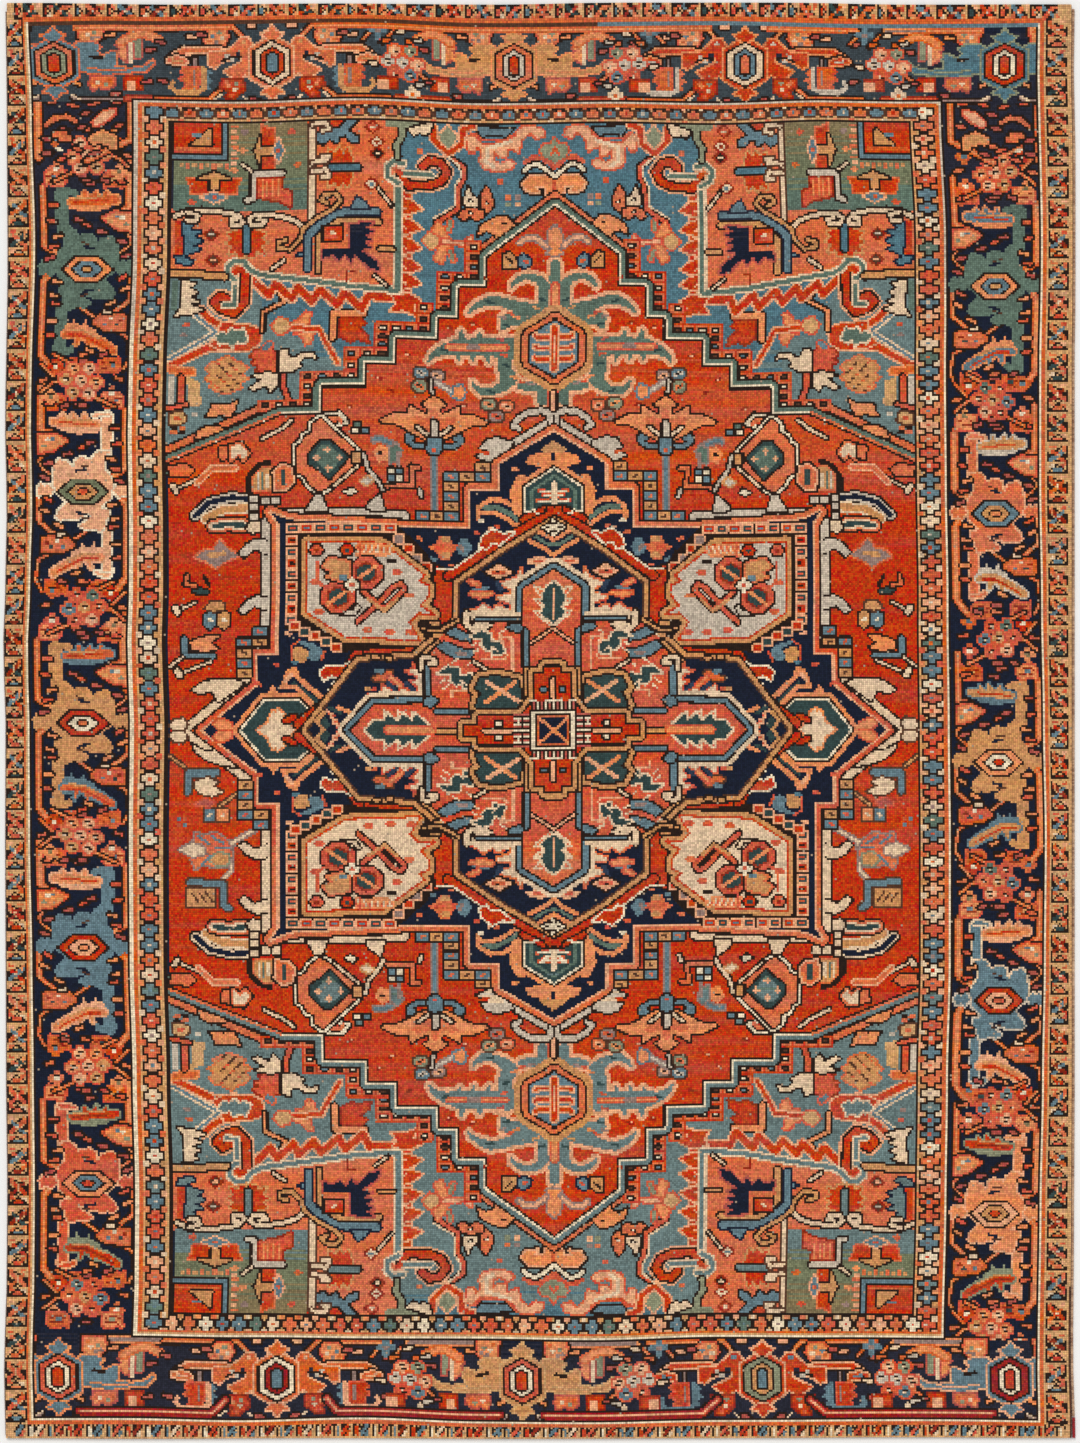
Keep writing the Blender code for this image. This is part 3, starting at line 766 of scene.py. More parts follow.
    def pendant(self, q: Pen) -> None:
        """The hexagon in a wreath of teal leaves, above and below the medallion."""
        q.sketch("""
    SEA PEACH PEACH leaves: 0,222,6 ,229,5 / 5.4,209,5 ,219,5.4 8,222,4 13,223.6,3.4 18,222.4,3 21,219.6,2
      21.6,218,1 / 8,206,7 14,207.4,6.6 20,209,5.4 26,211.2,4.6 32,211.8,4.8 37,210,3.6 41,207.4,2.2
      42.4,205.4,1.2 / 10,205,7 17,203.6,8 24,202,6 25,198.6,3 / 22,188.6,10 30,188.8,9.4 40,,8.6
      48,188.4,8.4 54,187.4,5.6 59.6,184.6,3 61.6,181.6,1.4 / 36.4,192,4 37,195.6,1.6 / 45,192,4
      46,196.4,1.4 / 24,186,8 ,178,7 22,173,8 25,169.4,5.4 30,167.2,4 35,166.8,3.8 38.6,169,2.4 40,171.4,1.2
      / 10,169,5 16,169.6,4 / 5.6,168,5 ,162, / 33,184.6,3 32,181.6,1.4 / 40,184.6,3 39.6,182,1.2 /
      47,184.6,3 46.6,182.4,1.2  APRICOT CORAL: -.6,220 1.4,219 1.8,206 -.6,
    APRICOT CORAL: -.6,168 2, ,158 -.6,  APRICOT CORAL 1.8: 24,188.6 52,  MAUVE 3: 37.6,188.6 42,""")
        q.dabs("-1.4,-.4 1.4,.4", 1.4, """
            CORAL 22,205.4 MAUVE 26,203.6 APRICOT 19,203.6 CORAL 15.4,171.6 APRICOT 19.4,174 MAUVE
            11.6,170.6 ROSE 26.4,192.6 CORAL 25,185 CAMEL 9,208 PINE 24,199.6 6,212 32,211 54,187 31,167
            24,180""")
        q.sketch("STEEL BROWN SALMON SALMON BROWN CAMEL CAMEL CAMEL: -.6,174 12.4,181.4 ,194.4 -.6,202")
        for y in (193.4, 188, 182.4):
            q.line(FLAME, f"0,{y} 8,{y} 9.4,{y + 1}", 1.7, PEACH)
        q.sketch("""
    FLAME PEACH 2.6: 0,178 ,198  PEACH 1: 0,181 ,194  PEACH MAUVE 1.8: 4,238 10,242.6 15,242 17.6,240
    APRICOT MAUVE: -.6,248 3,246 3.6,240 1.6,237 4,234.6 -.6,233.4""")
        for x, y, wool, heart in (
                (57.4, 174.4, MAUVE, PEACH), (65.4, 175.6, STEEL, MIST), (65.8, 169, SAGE, SALMON),
                (23.4, 159.8, SALMON, PEACH), (32, 160.8, SAGE, APRICOT), (28, 154.8, MAUVE, CORAL)):
            q.at(x, y).area(wool, "-1.7,-2.6 1.7, 3.4,-1.2 ,1.2 1.7,2.6 -1.7, -3.4,1.2 ,-1.2", UMBER)
            q.line(heart, f"{x - 1.4},{y - 0.6} {x + 1.4},{y + 0.6}", 2.2)
            q.line(BROWN, f"{x - 0.8},{y - 0.4} {x + 0.8},{y + 0.4}", 0.9)
        q.sketch("""
    MIST MAUVE 1.5: 58.6,171.6 50,166.6  MIST BROWN 1.3: 60.6,172 59.6,166
    APRICOT STEEL: 49,168.6 45,170 43.6,166.4 45,162.6 49.6,164.6
    CAMEL BROWN: 25.6,234.6 22.6,235.4 19.4,232.6 19,228 25.6,227.4  BROWN 1: 24,233 21,230.4
    STEEL NAVY: 15.4,234.4 12,232 11.6,229.4 15,227.6 17.6,229 ,233  CORAL 1.6: 14,230.6 15,231""")
        for x, y in ((44, 160), (72, 184), (80, 166), (86, 172), (34, 222), (100, 158), (52, 198), (40, 200)):
            q.line(BRICK, f"{x - 1},{y} {x + 1},{y + 0.6}", 1.6)
            q.line(PEACH, f"{x},{y} {x + 0.4},{y}", 1)


class BlueGround:
    """The light blue ground round the red one, with its vines and blossoms."""

    def draw(self, pen: Pen, q: Pen) -> None:
        """Draw the ground, bluer in the middle and greener at the sides, then its motifs."""
        pen.block(SKY, FIELD_LEFT, FIELD_BOTTOM, FIELD_RIGHT, FIELD_TOP)
        q.sketch("TEAL: 192,135 ,226 150,222 138,196 118,190 122,160")
        self.top(q)
        self.vines(q)
        self.side(q)

    def top(self, q: Pen) -> None:
        """The forked stem on the point of the red ground, and the half palmettes along the end."""
        q.sketch("""
    APRICOT PEACH BROWN: -1,257 5,258 3.6,262 5,268 11, 8,265 14,265.6 16,269 12,273 4, -1,271
    CORAL 2: 0,262 ,270  CORAL 2.6: 0,277 6,281.6 11,282 14.6,279.6
    IVORY BROWN 1.8: 0,272.4 5,276.4 9,279 13,277.6 15.4,275.4
    SAGE CORAL: 0,279.6 5,281.6 7.4,285.4 5.4,288.4 2, 0,291.6  CORAL 1.4: 0,286.4 2,283.4
    PEACH CORAL: 5,292.6 6,295.6 11,297.4 17,296.6 21,292.6 26,289 36,288.6 41,293 44,292 42.6,285 40,
      39,288 36.4,286 37,280 35,277 29,275.4 22,276.6 20,279 23,281 27,278.8 31,280.6 ,286 28,283 24, ,287
      20,286 18,284.6 16.4,291 12,294.4 9,291.4  CREAM 2: 22,290 33.6,286.6 34,280 30,277.6
    STEEL BROWN: 20,296.6 24,292.6 30,293.4 36,292.6 39,296.8
    CORAL 1.4: 19.6,293.4 24,290.8 36,290.6 39.4,293.6""")
        q.tiles(1.6, 1.2, """
            MAUVE 18.4,262.4 SALMON 23,262.4 PEACH 18.4,259 SAGE 23,259 CORAL 27,270.4 SALMON 67,284""")
        q.sketch("""
    SALMON BROWN: 30.4,259 31.4,264 34,268 36.8,264 ,258 34,254.6 31.6,256.6
    SALMON BROWN: 35.6,256 41,257.4 46,256 48,252.6 45,250.8 42.4,253.4 39,251 35.6,252.6
    CREAM BROWN: 38,258.4 ,261.4 41,263.4 43,268 45,262 44.6,258.4""")
        for x, y in ((33.4, 259.4), (41.4, 260.4), (41.4, 254.6)):
            q.line(BROWN, f"{x - 0.6},{y} {x + 0.8},{y + 0.6}", 1.6)
            q.line(IVORY, f"{x},{y + 0.4} {x + 0.4},{y + 0.4}", 1)

    def vines(self, q: Pen) -> None:
        """The red bracket round a green flower, its forked vine and the gold blossom."""
        q.sketch("""
    FLAME PEACH 2.4: 60,296 ,290 53,283.6 46,288.6 45.6,296 40,297.4
    SAGE PEACH: 57.4,293 55,294.6 53,297.6 51,294.6 48.6,293 50,289 53,286.4 56,289
    CORAL BROWN 2: 50.6,281 45.4,277.4 44.8,272.4 47.6,267.4 48,256.6 58.6,249.6
    CREAM 1: 52.8,282 47.2,277.4 46.8,272.4 49.6,267.4 50,257.6 60.6,251.4
    APRICOT CORAL: 61,245 58,250.6 55.4,247 52.6,241.6 57,237.6 60,231.6 56,229.6 54,234.6 51,239
    GOLD CORAL: 65.6,240.4 62,244.6 57.4,242 58.4,237.4 62,236.4
    PEACH CORAL 1.6: 55,240.4 45,239.6 41.6,242.4  SAGE CORAL 2: 52,250 52.6,246
    SAGE CORAL 2: 52,236 50.4,231.6""")

    def side(self, q: Pen) -> None:
        """The red fork with its green flowers, the leaf medallion, and the blossoms beside the steps."""
        q.sketch("""
    STEEL CREAM 1.4: 178,205 166,195.6 189,182  FLAME PEACH 3: 174,206.6 169.6,202 165,199.4 158,198.6
    FLAME PEACH 3: 158,188 169,188.4 178,184 189,178.6
    FLAME PEACH: 164,200 152,199.6 146,197.6 144,194 145,189.6 150,186.8 164,187.4 169,190 165,194
    SEA CREAM: 166.6,194 163,195.6 161,194 159,197.4 156,196 153,197 152,194.6 150.6,191.6 154,190
      156,191.6 158,188.8 161,190.8 164,190  ORANGE APRICOT 3: 188,177.6 184,176.4 177.6,176
    MIST block: 185.6,160 189,174  CORAL BROWN 3: 183,173 ,160.6
    GOLD: 180,174 173,171 173.6,166 172,160 179,158.6  CORAL BROWN 1.8: 189,158 180,160
    GOLD UMBER: 188,155 184.6,156.6 181,155.6 180,152 184,150 188,150.6  CORAL 1.8: 185.4,153 183.4,""")
        q.dabs("-.8,0 .8,0", 2, """
            SALMON 182,148.4 186,146.4 BROWN 186,148.6 CORAL 181,199 BROWN 182,146.2 MAUVE 182,194 MIST
            176,155""")
        q.sketch("""
    CAMEL SALMON: 160,184 164,181.6 168,180.6 170.6,177.6 168,175 171,173 167,171 168.6,169 165,167
      161,165.6 157,167 153.4,168.6 154,171 150.4,173 154,175 150.6,178 154,180.6 157,181.6""")
        for i in range(15):
            x, y = 166 - (i * 7) % 12, 181 - i
            q.line(UMBER if i % 3 else CORAL, f"{x},{y} {x - 1.6},{y - 0.8}", 1)
        q.sketch("""
    CORAL BRICK: 136,185.6 140,187 147,186.4 149,183.6 145.6,182 148.6,180.4 145,179 146,176.4 136,176
    CREAM BROWN: 135,186 131,187 130,183.4 127,182.4 123.6,185 118,184.6 116.6,182 122,183 125,180.6
      124,178.4 128,176 135,
    CREAM BROWN: 136,175 141,175.6 148.4,174 143,172.4 149.4,168 147,167 141,169.6 139,166 136,168.6
    STEEL CORAL 2.6: 139.6,189.4 142,187.6  CORAL BROWN 2.4: 132.6,174 132.4,168 130,161.6
    APRICOT BROWN 1.6: 143.6,196 ,205.4 133,210.4 137,216
    APRICOT CORAL: 129,199.6 126,200.6 122,204.8 120,204 122,197
    APRICOT CORAL: 128,194.6 124,193.6 122,189 119.6,190 118,195.4
    FLAME PEACH 1.9: 130,197.6 115.4,196 112.4,190 106,179.6
    GOLD CORAL: 139,198.6 136,202 132,201.6 130,198 132,195 136.4,194.8
    APRICOT BROWN 2.8: 94,203.6 109, ,192
    FLAME BRICK: 105,201 95, 93,198.6 97,197 92,193 91,189.6 97,191.4 100,189.8 105,192.4
    APRICOT BROWN: 167.6,160.4 158, 155,162 156,158 158,156 152.6,153 158,153.8 163,155 170.6,154
      168.4,156.6""")


class CornerPiece:
    """The arched piece in each corner of the field: a green ground, a coral one round it, a toothed edge."""

    def edge(self, q: Pen) -> None:
        """The red toothed band, its teal line, and the rings and hooks at both ends."""
        q.sketch("""
    FLAME PEACH 3.4: 150,222 141,213.6 138,219 129.6,211.6 127,217 119.6,210 116,215.6 107,208 104,214
      95,206 92,212.4 74,211.4  FLAME PEACH 4: 73.4,264 ,211""")
        for y in (256, 246.4, 236.8, 227, 219.4):
            q.area(FLAME, f"75,{y + 4.6} 71,{y + 3.4} 66,{y - 0.4} 71,{y - 2.2} 75,{y - 3}", PEACH)
            q.line(PEACH, f"75.8,{y + 0.6} 73.6,{y - 0.6}", 1)
        q.sketch("""
    FLAME PEACH: 80,212.6 72,214 66,211 70,208 68,203.4 75,205.8 81,205 78,209
    FLAME BROWN PEACH 3.6: 153,226 153.2,210 158,205 164,207 168,210.6 165,213.6 161,211.6
    FLAME BROWN PEACH 3.6: 76,272 73,267 62,267.6 56,270 53.6,274.6 57,279 62,279.8 65.4,276.6
    SEA CREAM 1.8: 158,222 ,209 163,208.8  SEA CREAM 1.8: 76,272.6 61,272.4
    SEA CREAM 2.2: 77.6,268 ,215.2 100,217 120,220 146,223.8 151,226.6 154,230.6 158.6,230.8 162,228
      161.6,224 158,221.4  SEA CREAM 2.2: 77.6,268 82.6,270.6 83.4,275.6 79.6,278.8 75,277.4
    FLAME 3: 158,225.6 155.4,226.4  FLAME 3: 77.6,273.6 76.4,272.6
    SAGE BROWN 2.6: 78,281 78.6,286.6 75.8,291 75.6,296.6  SAGE 2.8: 83,297 64,
    CREAM BROWN: 73,294.6 60,299 62,293.6 64.4,292 67,293 70,291.6""")

    def coral(self, q: Pen) -> None:
        """What lies on the coral ground."""
        q.sketch("""
    CAMEL BROWN 3: 189,224.4 182,224.6 163,222.8  SEA block: 185.8,206 189,221
    CREAM BROWN: 184.6,221.4 177,219.6 180,217.4 176,215 180,213 175,210.6 180,209.4 173,206.6 179,204.6
      187,203.4 184,207.6  FLAME block: 184,234 188,250
    SKY NAVY: 184,249.6 179,248.4 181,246 175,245 179,242.6 174,240.4 179,238 175,236.4 184,233 188,
      187,230 181,228.4 179,230.4 183,232""")
        for x, y, turn, blue in ((152.6, 241, 0, "0,-5 ,6"), (105.6, 275, 90, "0,-6 ,8")):
            f = q.at(x, y, turn=turn).doubled()
            f.area(FLAME, "1,-8.6 4,-8 5,-5.6 9,-7 7,-3 10,-1.6 7,0.6 9.6,3 6,4.4 1,5.6", CAMEL)
            f.line(SKY, blue, 3, BROWN)
        for x, y, wool, heart in ((170, 243.6, UMBER, MIST), (169, 231, UMBER, PEACH),
                                  (91, 267, CREAM, STEEL), (88.4, 287.6, CREAM, BRICK),
                                  (88, 282, BROWN, CREAM), (90.4, 295, CORAL, CREAM)):
            q.at(x, y).area(wool, "-3,0 0,-2.4 3,0 0,2.4", BRICK)
            q.line(heart, f"{x - 0.6},{y} {x + 0.6},{y}", 1.4)
        q.sketch("""
    FLAME: 113,299 104, 107,294 113,293
    STEEL BROWN: 119,292.6 113,292 111,294.6 107,294.4 102,299 97, 103,293 97.6,290 ,287 102,288 104,291
      107,290 108,287 112,289.4 115,286.6 119,289  CAMEL BROWN 1.4: 87,235.4 80,
    BRICK 1: 102.6,219 ,224.6 99.4,  CREAM BROWN 1: 87.6,265 81,257  CREAM BROWN 1: 89,222 83,217.6
    CREAM BROWN 1.4: 134,230.6 140,226.6""")

    def device(self, q: Pen) -> None:
        """The blue and camel bands set slantwise, with a red square and a dark leaf in their bend."""
        q.sketch("""
    CAMEL BROWN 1.7: 133,240.4 137,239.4 ,236.6 131,235.8 126,240.6 124.6,245.6 118,250.6 110,254.8
      106,259 108.6,262.6 114,262 116,259.4 112.6,257.8  STEEL NAVY: 128,232.6 123,235 121,232
    STEEL NAVY 3.2: 122.4,226 ,241.6 119,245.6 109,251.6 104,253.4 88,
    STEEL NAVY: 101,255 98,260.6 94,258 92,255  CAMEL BROWN 2.4: 117.2,224.6 ,240.6 112,246 107,249 87,248.6
    NAVY ROSE: 101.6,247.6 90,248 94,245.6 89.6,244 94,242 90.6,239.6 95,238.6 91,236 96,234.6 88,229
      86.6,224.6 92,226 96,230 99,232.4 101,229 104,233 107,229.6 110,232.6 115.6,230.6 114.6,236 101.6,
    SALMON 2.6: 115,237 103.4, ,247  FLAME BROWN block: 105.6,239.8 114.6,246.6
    CORAL: 114.6,240 106, 114.6,246  CREAM 1.6: 109.4,243 110.4,243.4""")

    def green(self, q: Pen) -> None:
        """The green ground and what lies on it."""
        for wool, low, high in ((OLIVE, 255, 299), (MOSS, 255, 286), (SEA, 255, 268)):
            q.block(wool, 122, low, 189, high)
        for i, wool in enumerate((MOSS, SEA, MOSS, OLIVE, MOSS)):
            y = (288.6, 270.6, 265.6, 283, 291)[i]
            q.line(wool, f"{188 - 9 * i},{y} 124,{y}", 1)
        q.sketch("""
    FLAME BROWN block: 165.6,283.6 189,299  STEEL BROWN 2.2: 163.4,299 ,281.6 189,
    ORANGE 1.4: 188,285.4 167,  CAMEL BROWN: 181,287.4 171,295.6 170,287.4
    STEEL block: 175.6,291.6 180.6,293.6""")
        for i in range(8):
            q.block(SALMON if i % 2 else PEACH, 157.6 - i % 2, 277.6 + i * 2.6, 160.8, 279.4 + i * 2.6)
            q.block(CAMEL if i % 2 else SALMON, 161.6 + i * 3.2, 276 + i % 2, 164 + i * 3.2, 279)
        for f in (q.at(169, 268), q.at(143, 284.6, turn=-90, size=0.96)):
            d = f.doubled()
            d.sketch("""
    FLAME SALMON: 2,-4 11, 11.6,0 13,2.6 2,  CAMEL BROWN: 0,7 1,5.8 5,4.6 8.4,3 2, ,-2.4 0,
    STEEL PEACH: 0,-3.6 6,-6 0,-8.6  CORAL 1.6: 0,-6 .4,""")
        q.sketch("""
    MIST BROWN 2.4: 135,273.4 149.4, ,261 152.6,260.4
    CORAL BRICK: 147,270.8 135,271 136,266 130.6,264 131,256.6 136,259.6 143,261 147,262""")
        for x in (145, 142.4, 139.8, 137.2):
            q.line(APRICOT, f"{x},270 {x},262.6", 1)
        for x, y, wool in ((130.6, 293.4, CORAL), (127.6, 277.4, ORANGE), (159, 275.4, APRICOT),
                           (180, 259.4, CORAL), (154, 294, MAUVE), (155, 285, APRICOT)):
            q.at(x, y).area(wool, "-2.6,0 0,-1.8 2.6,0 0,1.8")
        q.line(CREAM, "155,278 150.6,274.8", 1.2, BROWN)

    def lines(self, q: Pen) -> None:
        """The ivory scrolled lines between the two grounds."""
        q.sketch("""
    FLAME 1.2: 122.6,250 ,298  CREAM UMBER 2.2: 120.4,250 ,297""")
        for y, up in ((296.6, -1), (278, 1), (273.6, -1)):
            q.line(CREAM, f"120.4,{y} 113.6,{y + 0.8} 112,{y + 2.6 * up} 115.6,{y + 3 * up}", 1.9, UMBER)
        q.sketch("""
    CREAM BROWN 2: 188,252.4 182,255 175,255.6 162,254.4 157,253 154.4,250 156,247.8 160,248.6 ,251.4
      157.6,250.8  CREAM BROWN 1.8: 182,254.6 176.6,253 177.6,250.4 182,
    CREAM BROWN 2: 124.6,246.6 129,250 136,252.4 148,253.6 151.6,251 149.6,247.8 145,248 143.4,250.6
      147,250.8""")

    def draw(self, q: Pen) -> None:
        """Draw the coral ground, the green one, and their edges."""
        q.sketch("SALMON: 190,256 ,226 160,223 120,220 78,216 ,281 77,291 76,299 122, ,256")
        self.edge(q)
        self.green(q)
        self.coral(q)
        self.lines(q)
        self.device(q)


@dataclass(frozen=True)
class Palmette:
    """One turtle palmette of the main border: where it lies along its run, and its wools."""

    place: float
    body: Wool
    rim: Wool
    rings: tuple[Wool, Wool, Wool]  # from the outside in
    arms: int = 1  # the side that its arms run along: 1 or -1
    leaf: Wool = APRICOT
    leaf_rim: Wool = PEACH

    def pen(self, pen: Pen) -> Pen:
        """A pen that knows this palmette's wools by their names."""
        names = {"body": self.body, "rim": self.rim, "leaf": self.leaf, "edge": self.leaf_rim}
        return replace(pen, names=names | {"heart": self.rings[2]})


@dataclass
class MainBorder:
    """The wide navy border, with turtle palmettes, clusters of small roses and a double vine."""

    left: tuple[Palmette, ...] = (
        Palmette(127.3, CORAL, PEACH, (APRICOT, STEEL, FLAME), -1, FLAME, SAGE),
        Palmette(246, STEEL, STEEL, (FLAME, PEACH, APRICOT), 1),
        Palmette(358.9, CAMEL, CAMEL, (FLAME, IVORY, ORANGE), -1, ORANGE, STEEL),
        Palmette(474.7, PEACH, IVORY, (MOSS, CAMEL, CORAL), 1, APRICOT, PEACH),
        Palmette(586, SEA, SEA, (APRICOT, STEEL, CAMEL), -1, ORANGE, APRICOT),
    )
    right: tuple[Palmette, ...] = (
        Palmette(113.3, APRICOT, PEACH, (PEACH, CAMEL, FLAME), -1, FLAME, SAGE),
        Palmette(220, STEEL, MIST, (FLAME, PEACH, CORAL), 1, APRICOT, PEACH),
        Palmette(339.3, CAMEL, CAMEL, (APRICOT, IVORY, FLAME), -1, CAMEL, STEEL),
        Palmette(464, SALMON, PEACH, (STEEL, CAMEL, APRICOT), 1, CAMEL, MIST),
        Palmette(578, SEA, SEA, (APRICOT, STEEL, CAMEL), -1, STEEL, APRICOT),
    )
    top: tuple[Palmette, ...] = (
        Palmette(25.7, STEEL, SALMON, (SALMON, SAGE, FLAME), -1),
        Palmette(133.4, SALMON, PEACH, (CREAM, FLAME, STEEL), 1, ORANGE, CAMEL),
        Palmette(257, CAMEL, APRICOT, (SALMON, MIST, FLAME), -1),
        Palmette(376, FLAME, APRICOT, (CREAM, STEEL, SALMON), 1, ORANGE, MIST),
        Palmette(507, SKY, SAGE, (FLAME, IVORY, FLAME), -1),
    )
    bottom: tuple[Palmette, ...] = (
        Palmette(26.7, STEEL, APRICOT, (CORAL, IVORY, FLAME), -1),
        Palmette(136.4, ORANGE, PEACH, (IVORY, CRIMSON, STEEL), 1, FLAME, PEACH),
        Palmette(261.7, CAMEL, GOLD, (CORAL, IVORY, FLAME), -1),
        Palmette(384, FLAME, PEACH, (SAGE, CAMEL, STEEL), 1, FLAME, STEEL),
        Palmette(509.3, STEEL, PEACH, (CRIMSON, IVORY, FLAME), -1),
    )

    def rings(self, p: Pen, outline: str, palmette: Palmette) -> None:
        """Nested outlines in the palmette's middle, each with a dark edge."""
        outer, middle, heart = palmette.rings
        for size, wool in ((1.0, BROWN), (0.88, outer), (0.62, BROWN), (0.52, middle), (0.28, BROWN),
                           (0.2, heart)):
            p.at(0, 0, size=size).area(wool, outline)

    def rose(self, p: Pen, x: float, y: float, wool: int) -> None:
        """A small rose of four lobes with a dark eye."""
        f = p.at(x, y)
        petals = "-1.4,2.9 1.4, 1.6,1.5 3.2,1.3 ,-1.3 1.6,-1.5 1.4,-2.9 -1.4, -1.6,-1.5 -3.2,-1.3 ,1.3"
        f.area(wool, petals + " -1.6,1.5", CORAL)
        f.sketch("""
    BROWN 0.9: -1.2,.8 .8,  BROWN 0.9: 0,-.8 1.4,  CREAM 1: -.6,-.2 0,""")

    def roses(self, p: Pen, wools: tuple[Wool, ...]) -> None:
        """A cluster of seven roses."""
        spots = (0, 0), (-4, 6), (4, 6), (-7.5, 0.5), (7.5, -1), (-4, -6), (4, -6.5)
        for (x, y), wool in zip(spots, wools):
            self.rose(p, x, y, wool)

    def sprig(self, p: Pen, x: float, y: float, wool: int, heart: int, size: float = 1.0) -> None:
        """A four-petalled flower."""
        f = p.at(x, y, size=size)
        f.line(wool, "-3,0 3,0", 3.4)
        f.line(wool, "0,-3 0,3", 3.4)
        f.line(heart, "-0.6,0 0.6,0", 2)

    def side_palmette(self, p: Pen, palmette: Palmette) -> None:
        """A palmette of a side run: its vines, its arms with their leaves, its body and its rings."""
        p = palmette.pen(p).at(0, palmette.place, flip=palmette.arms < 0)
        for width, text in (
                (3.4, "14,7 21.4,12 ,41"), (3.4, "20,-4 21.4,-6 ,-43 16,-50"),
                (1.2, "-14,7 -20,11 -22.5,15 -20,18 -9,25"), (2.0, "-22.5,-2 ,-15 -13,-22.5"),
                (1.4, "3,-18.6 -6,-25 -22,-34 -23.4,-44 -20,-50"), (3.4, "-15.6,29.4 -19,30 -21,31.4 ,54")):
            p.vine(text, width)
        p.sketch("""
    APRICOT CORAL BROWN: -22,28 -14,28.6 -8,25.6 -15,20.6 -22,19.4
    SALMON ORANGE BROWN: -20,-23.6 -14,-22.6 -8,-23.4 -4.6,-26.6 -10,-29.6 -20,-30""")
        p.dabs("0,0 .9,0", 1.7, """
            STEEL -15.4,26.4 SAGE -20,22.8 IVORY -18,26 CAMEL -12,24 IVORY -13.6,-24.6 PINE -16.4,-27.6
            STEEL -10.4,-27.4 BRICK -18.4,-25.6""")
        p.sketch("""
    body rim 4.2: 12.3,20 12.6,38  body rim 4.2: 12,-19 12.4,-40.6  body rim 1.5: 13,38.8 9, 6,38
    body rim 1.5: 13,-41.6 9,-41.4 6.4,-40
    leaf edge leaves: 7.4,33.6,3 -2,34.4,4.4 -11,34.6,4.6 -14.6,35,3.4 / -9,36,3 -10,38.6,1 / -4,36,3
      -5,39,1 / 1,36,3 ,38.6,1  edge 2.4: 7.6,31 -2,29.8 -10,31.4
    leaf edge leaves: 9,-32.6,3.6 1,-32.4,4 -8,-36.6,4.4 -14.6,-40.6,3.6 / -2,-35,3 -3,-38.6,1 / 3,-34,3
      4,-38,1  edge leaves: 8.6,-28.6,2.6 0,-28.8,2.4 -5,-31,2 / 0,-28,2 -1,-25.6,1 / 5,-28,2 5.6,-25.2,1""")
        for text in ("6.4,33.4 -11,34.8", "8,-33 1,-33 -8,-37.4 -13,-40.4"):
            p.line(FLAME if palmette.leaf != FLAME else BRICK, text, 1)
        p.sketch("""
    CAMEL 1: 6,35.2 -8,36.2  CAMEL 1: 7,-30.8 0,-31 -8,-34.8
    body rim: -15,1 -14.6,13.4 -12,16 -7,14.6 -5,11 -4,12.6 ,15.4 -1,17.4 4.6,16 6.4,19 9,20.6 14,20
      11,17.6 ,11.4 13,9 15.4,5.4 14,-3 8,-8 13.4,-9.2 13.2,-12.6 10.8,-14 10.4,-18.6 8,-19.6 5,-18.2
      .8,-18.6 -2,-17 3,-13.6 5,-11.4 1.4,-11 -1,-13 -7,-14.2 -10,-13.6 -12,-14.6 -13.8,-12.6 -13,-10
      -8,-5""")
        for y in (1, -1):
            p.line(NAVY, f"-3.2,{10.4 * y} 1.4,{11.4 * y}", 1.4)
            p.line(UMBER, f"-1,{12.8 * y} 3,{13.2 * y}", 0.9)
        for x, flip in ((-19.4, True), (19.6, False)):
            f = p.at(x, 0.6, flip=flip)
            f.sketch("body rim: 4,.8 3,-3 .5,-1.6 -1.5,-3.4 -4.6,0 -1.5,3.4 .5,1.8 2,3.6")
        self.rings(p, "-14.2,0 -6,6.8 6.4,6.8 13.6,0 5.4,-7 -6,-6.8", palmette)
        p.sketch("""
    ORANGE CAMEL tuft: -14,45  APRICOT STEEL tuft: 15.5,45.6  ORANGE BRICK tuft: -12.8,-48
    ORANGE PINE tuft: 8,-48.4
    CORAL blobs: .4,22.4,.8 16.6,11.4,-.3 16.4,32,0 -18,-4,-.8 15,-17.4,.2 17.4,24,.4 -17,44, 17,-33,.3
    APRICOT blobs: 14.6,16.4,-.4 -12.6,-17,-.8 16,-13.4,.3 14.8,-6.4, -19.4,-9.6,-.7 -3,-40.6,.6 16.8,-26,0
    ROSE blobs: -7.6,18.8,.3 -19.6,7,-.6 18.6,5.4,-.5 -17.6,14,.4 4,24.6,.3 0,-46,0 -2,43,-.3 2,47,.2
    CREAM blobs: -11,-21.4,.2""")

    def side_joint(self, p: Pen, y: float, turned: bool, mixed: bool) -> None:
        """The cluster of roses between two side palmettes, with what lies round it.

        Args:
            p: a pen in the middle of the side run.
            y: the cluster's height.
            turned: whether it is drawn the other way round.
            mixed: whether some of its roses are blue and grey.
        """
        p = p.at(0, y, flip=turned)
        for text in ("-15,13 -5,8", "5,-8 16,-13", "-21,-6 -15,-1 -9,0", "-21,8 -15,2"):
            p.vine(text, 1.4)
        self.roses(p.at(-1, 0), (CAMEL, SEA, CORAL, SALMON, STEEL, PEACH, CORAL) if mixed
                   else (PEACH, APRICOT, PEACH, CAMEL, APRICOT, CAMEL, PEACH))
        for x, y, wool, heart in ((15, 8, ORANGE, STEEL), (14.6, -6.6, SALMON, IVORY), (-14, 7, FLAME, IVORY),
                                  (-16, -8.4, APRICOT, OLIVE)):
            self.sprig(p, x, y, wool, heart, 0.8)
            p.line(BROWN, f"{x - 1.4},{y + 1.4} {x + 1.4},{y + 1.6}", 0.8)
        p.sketch("""
    SALMON blobs: 0,13,.3 18,1,-.4 -20,0,.4  ROSE blobs: 0,-12.6,0 -9,,.5 10,13,""")

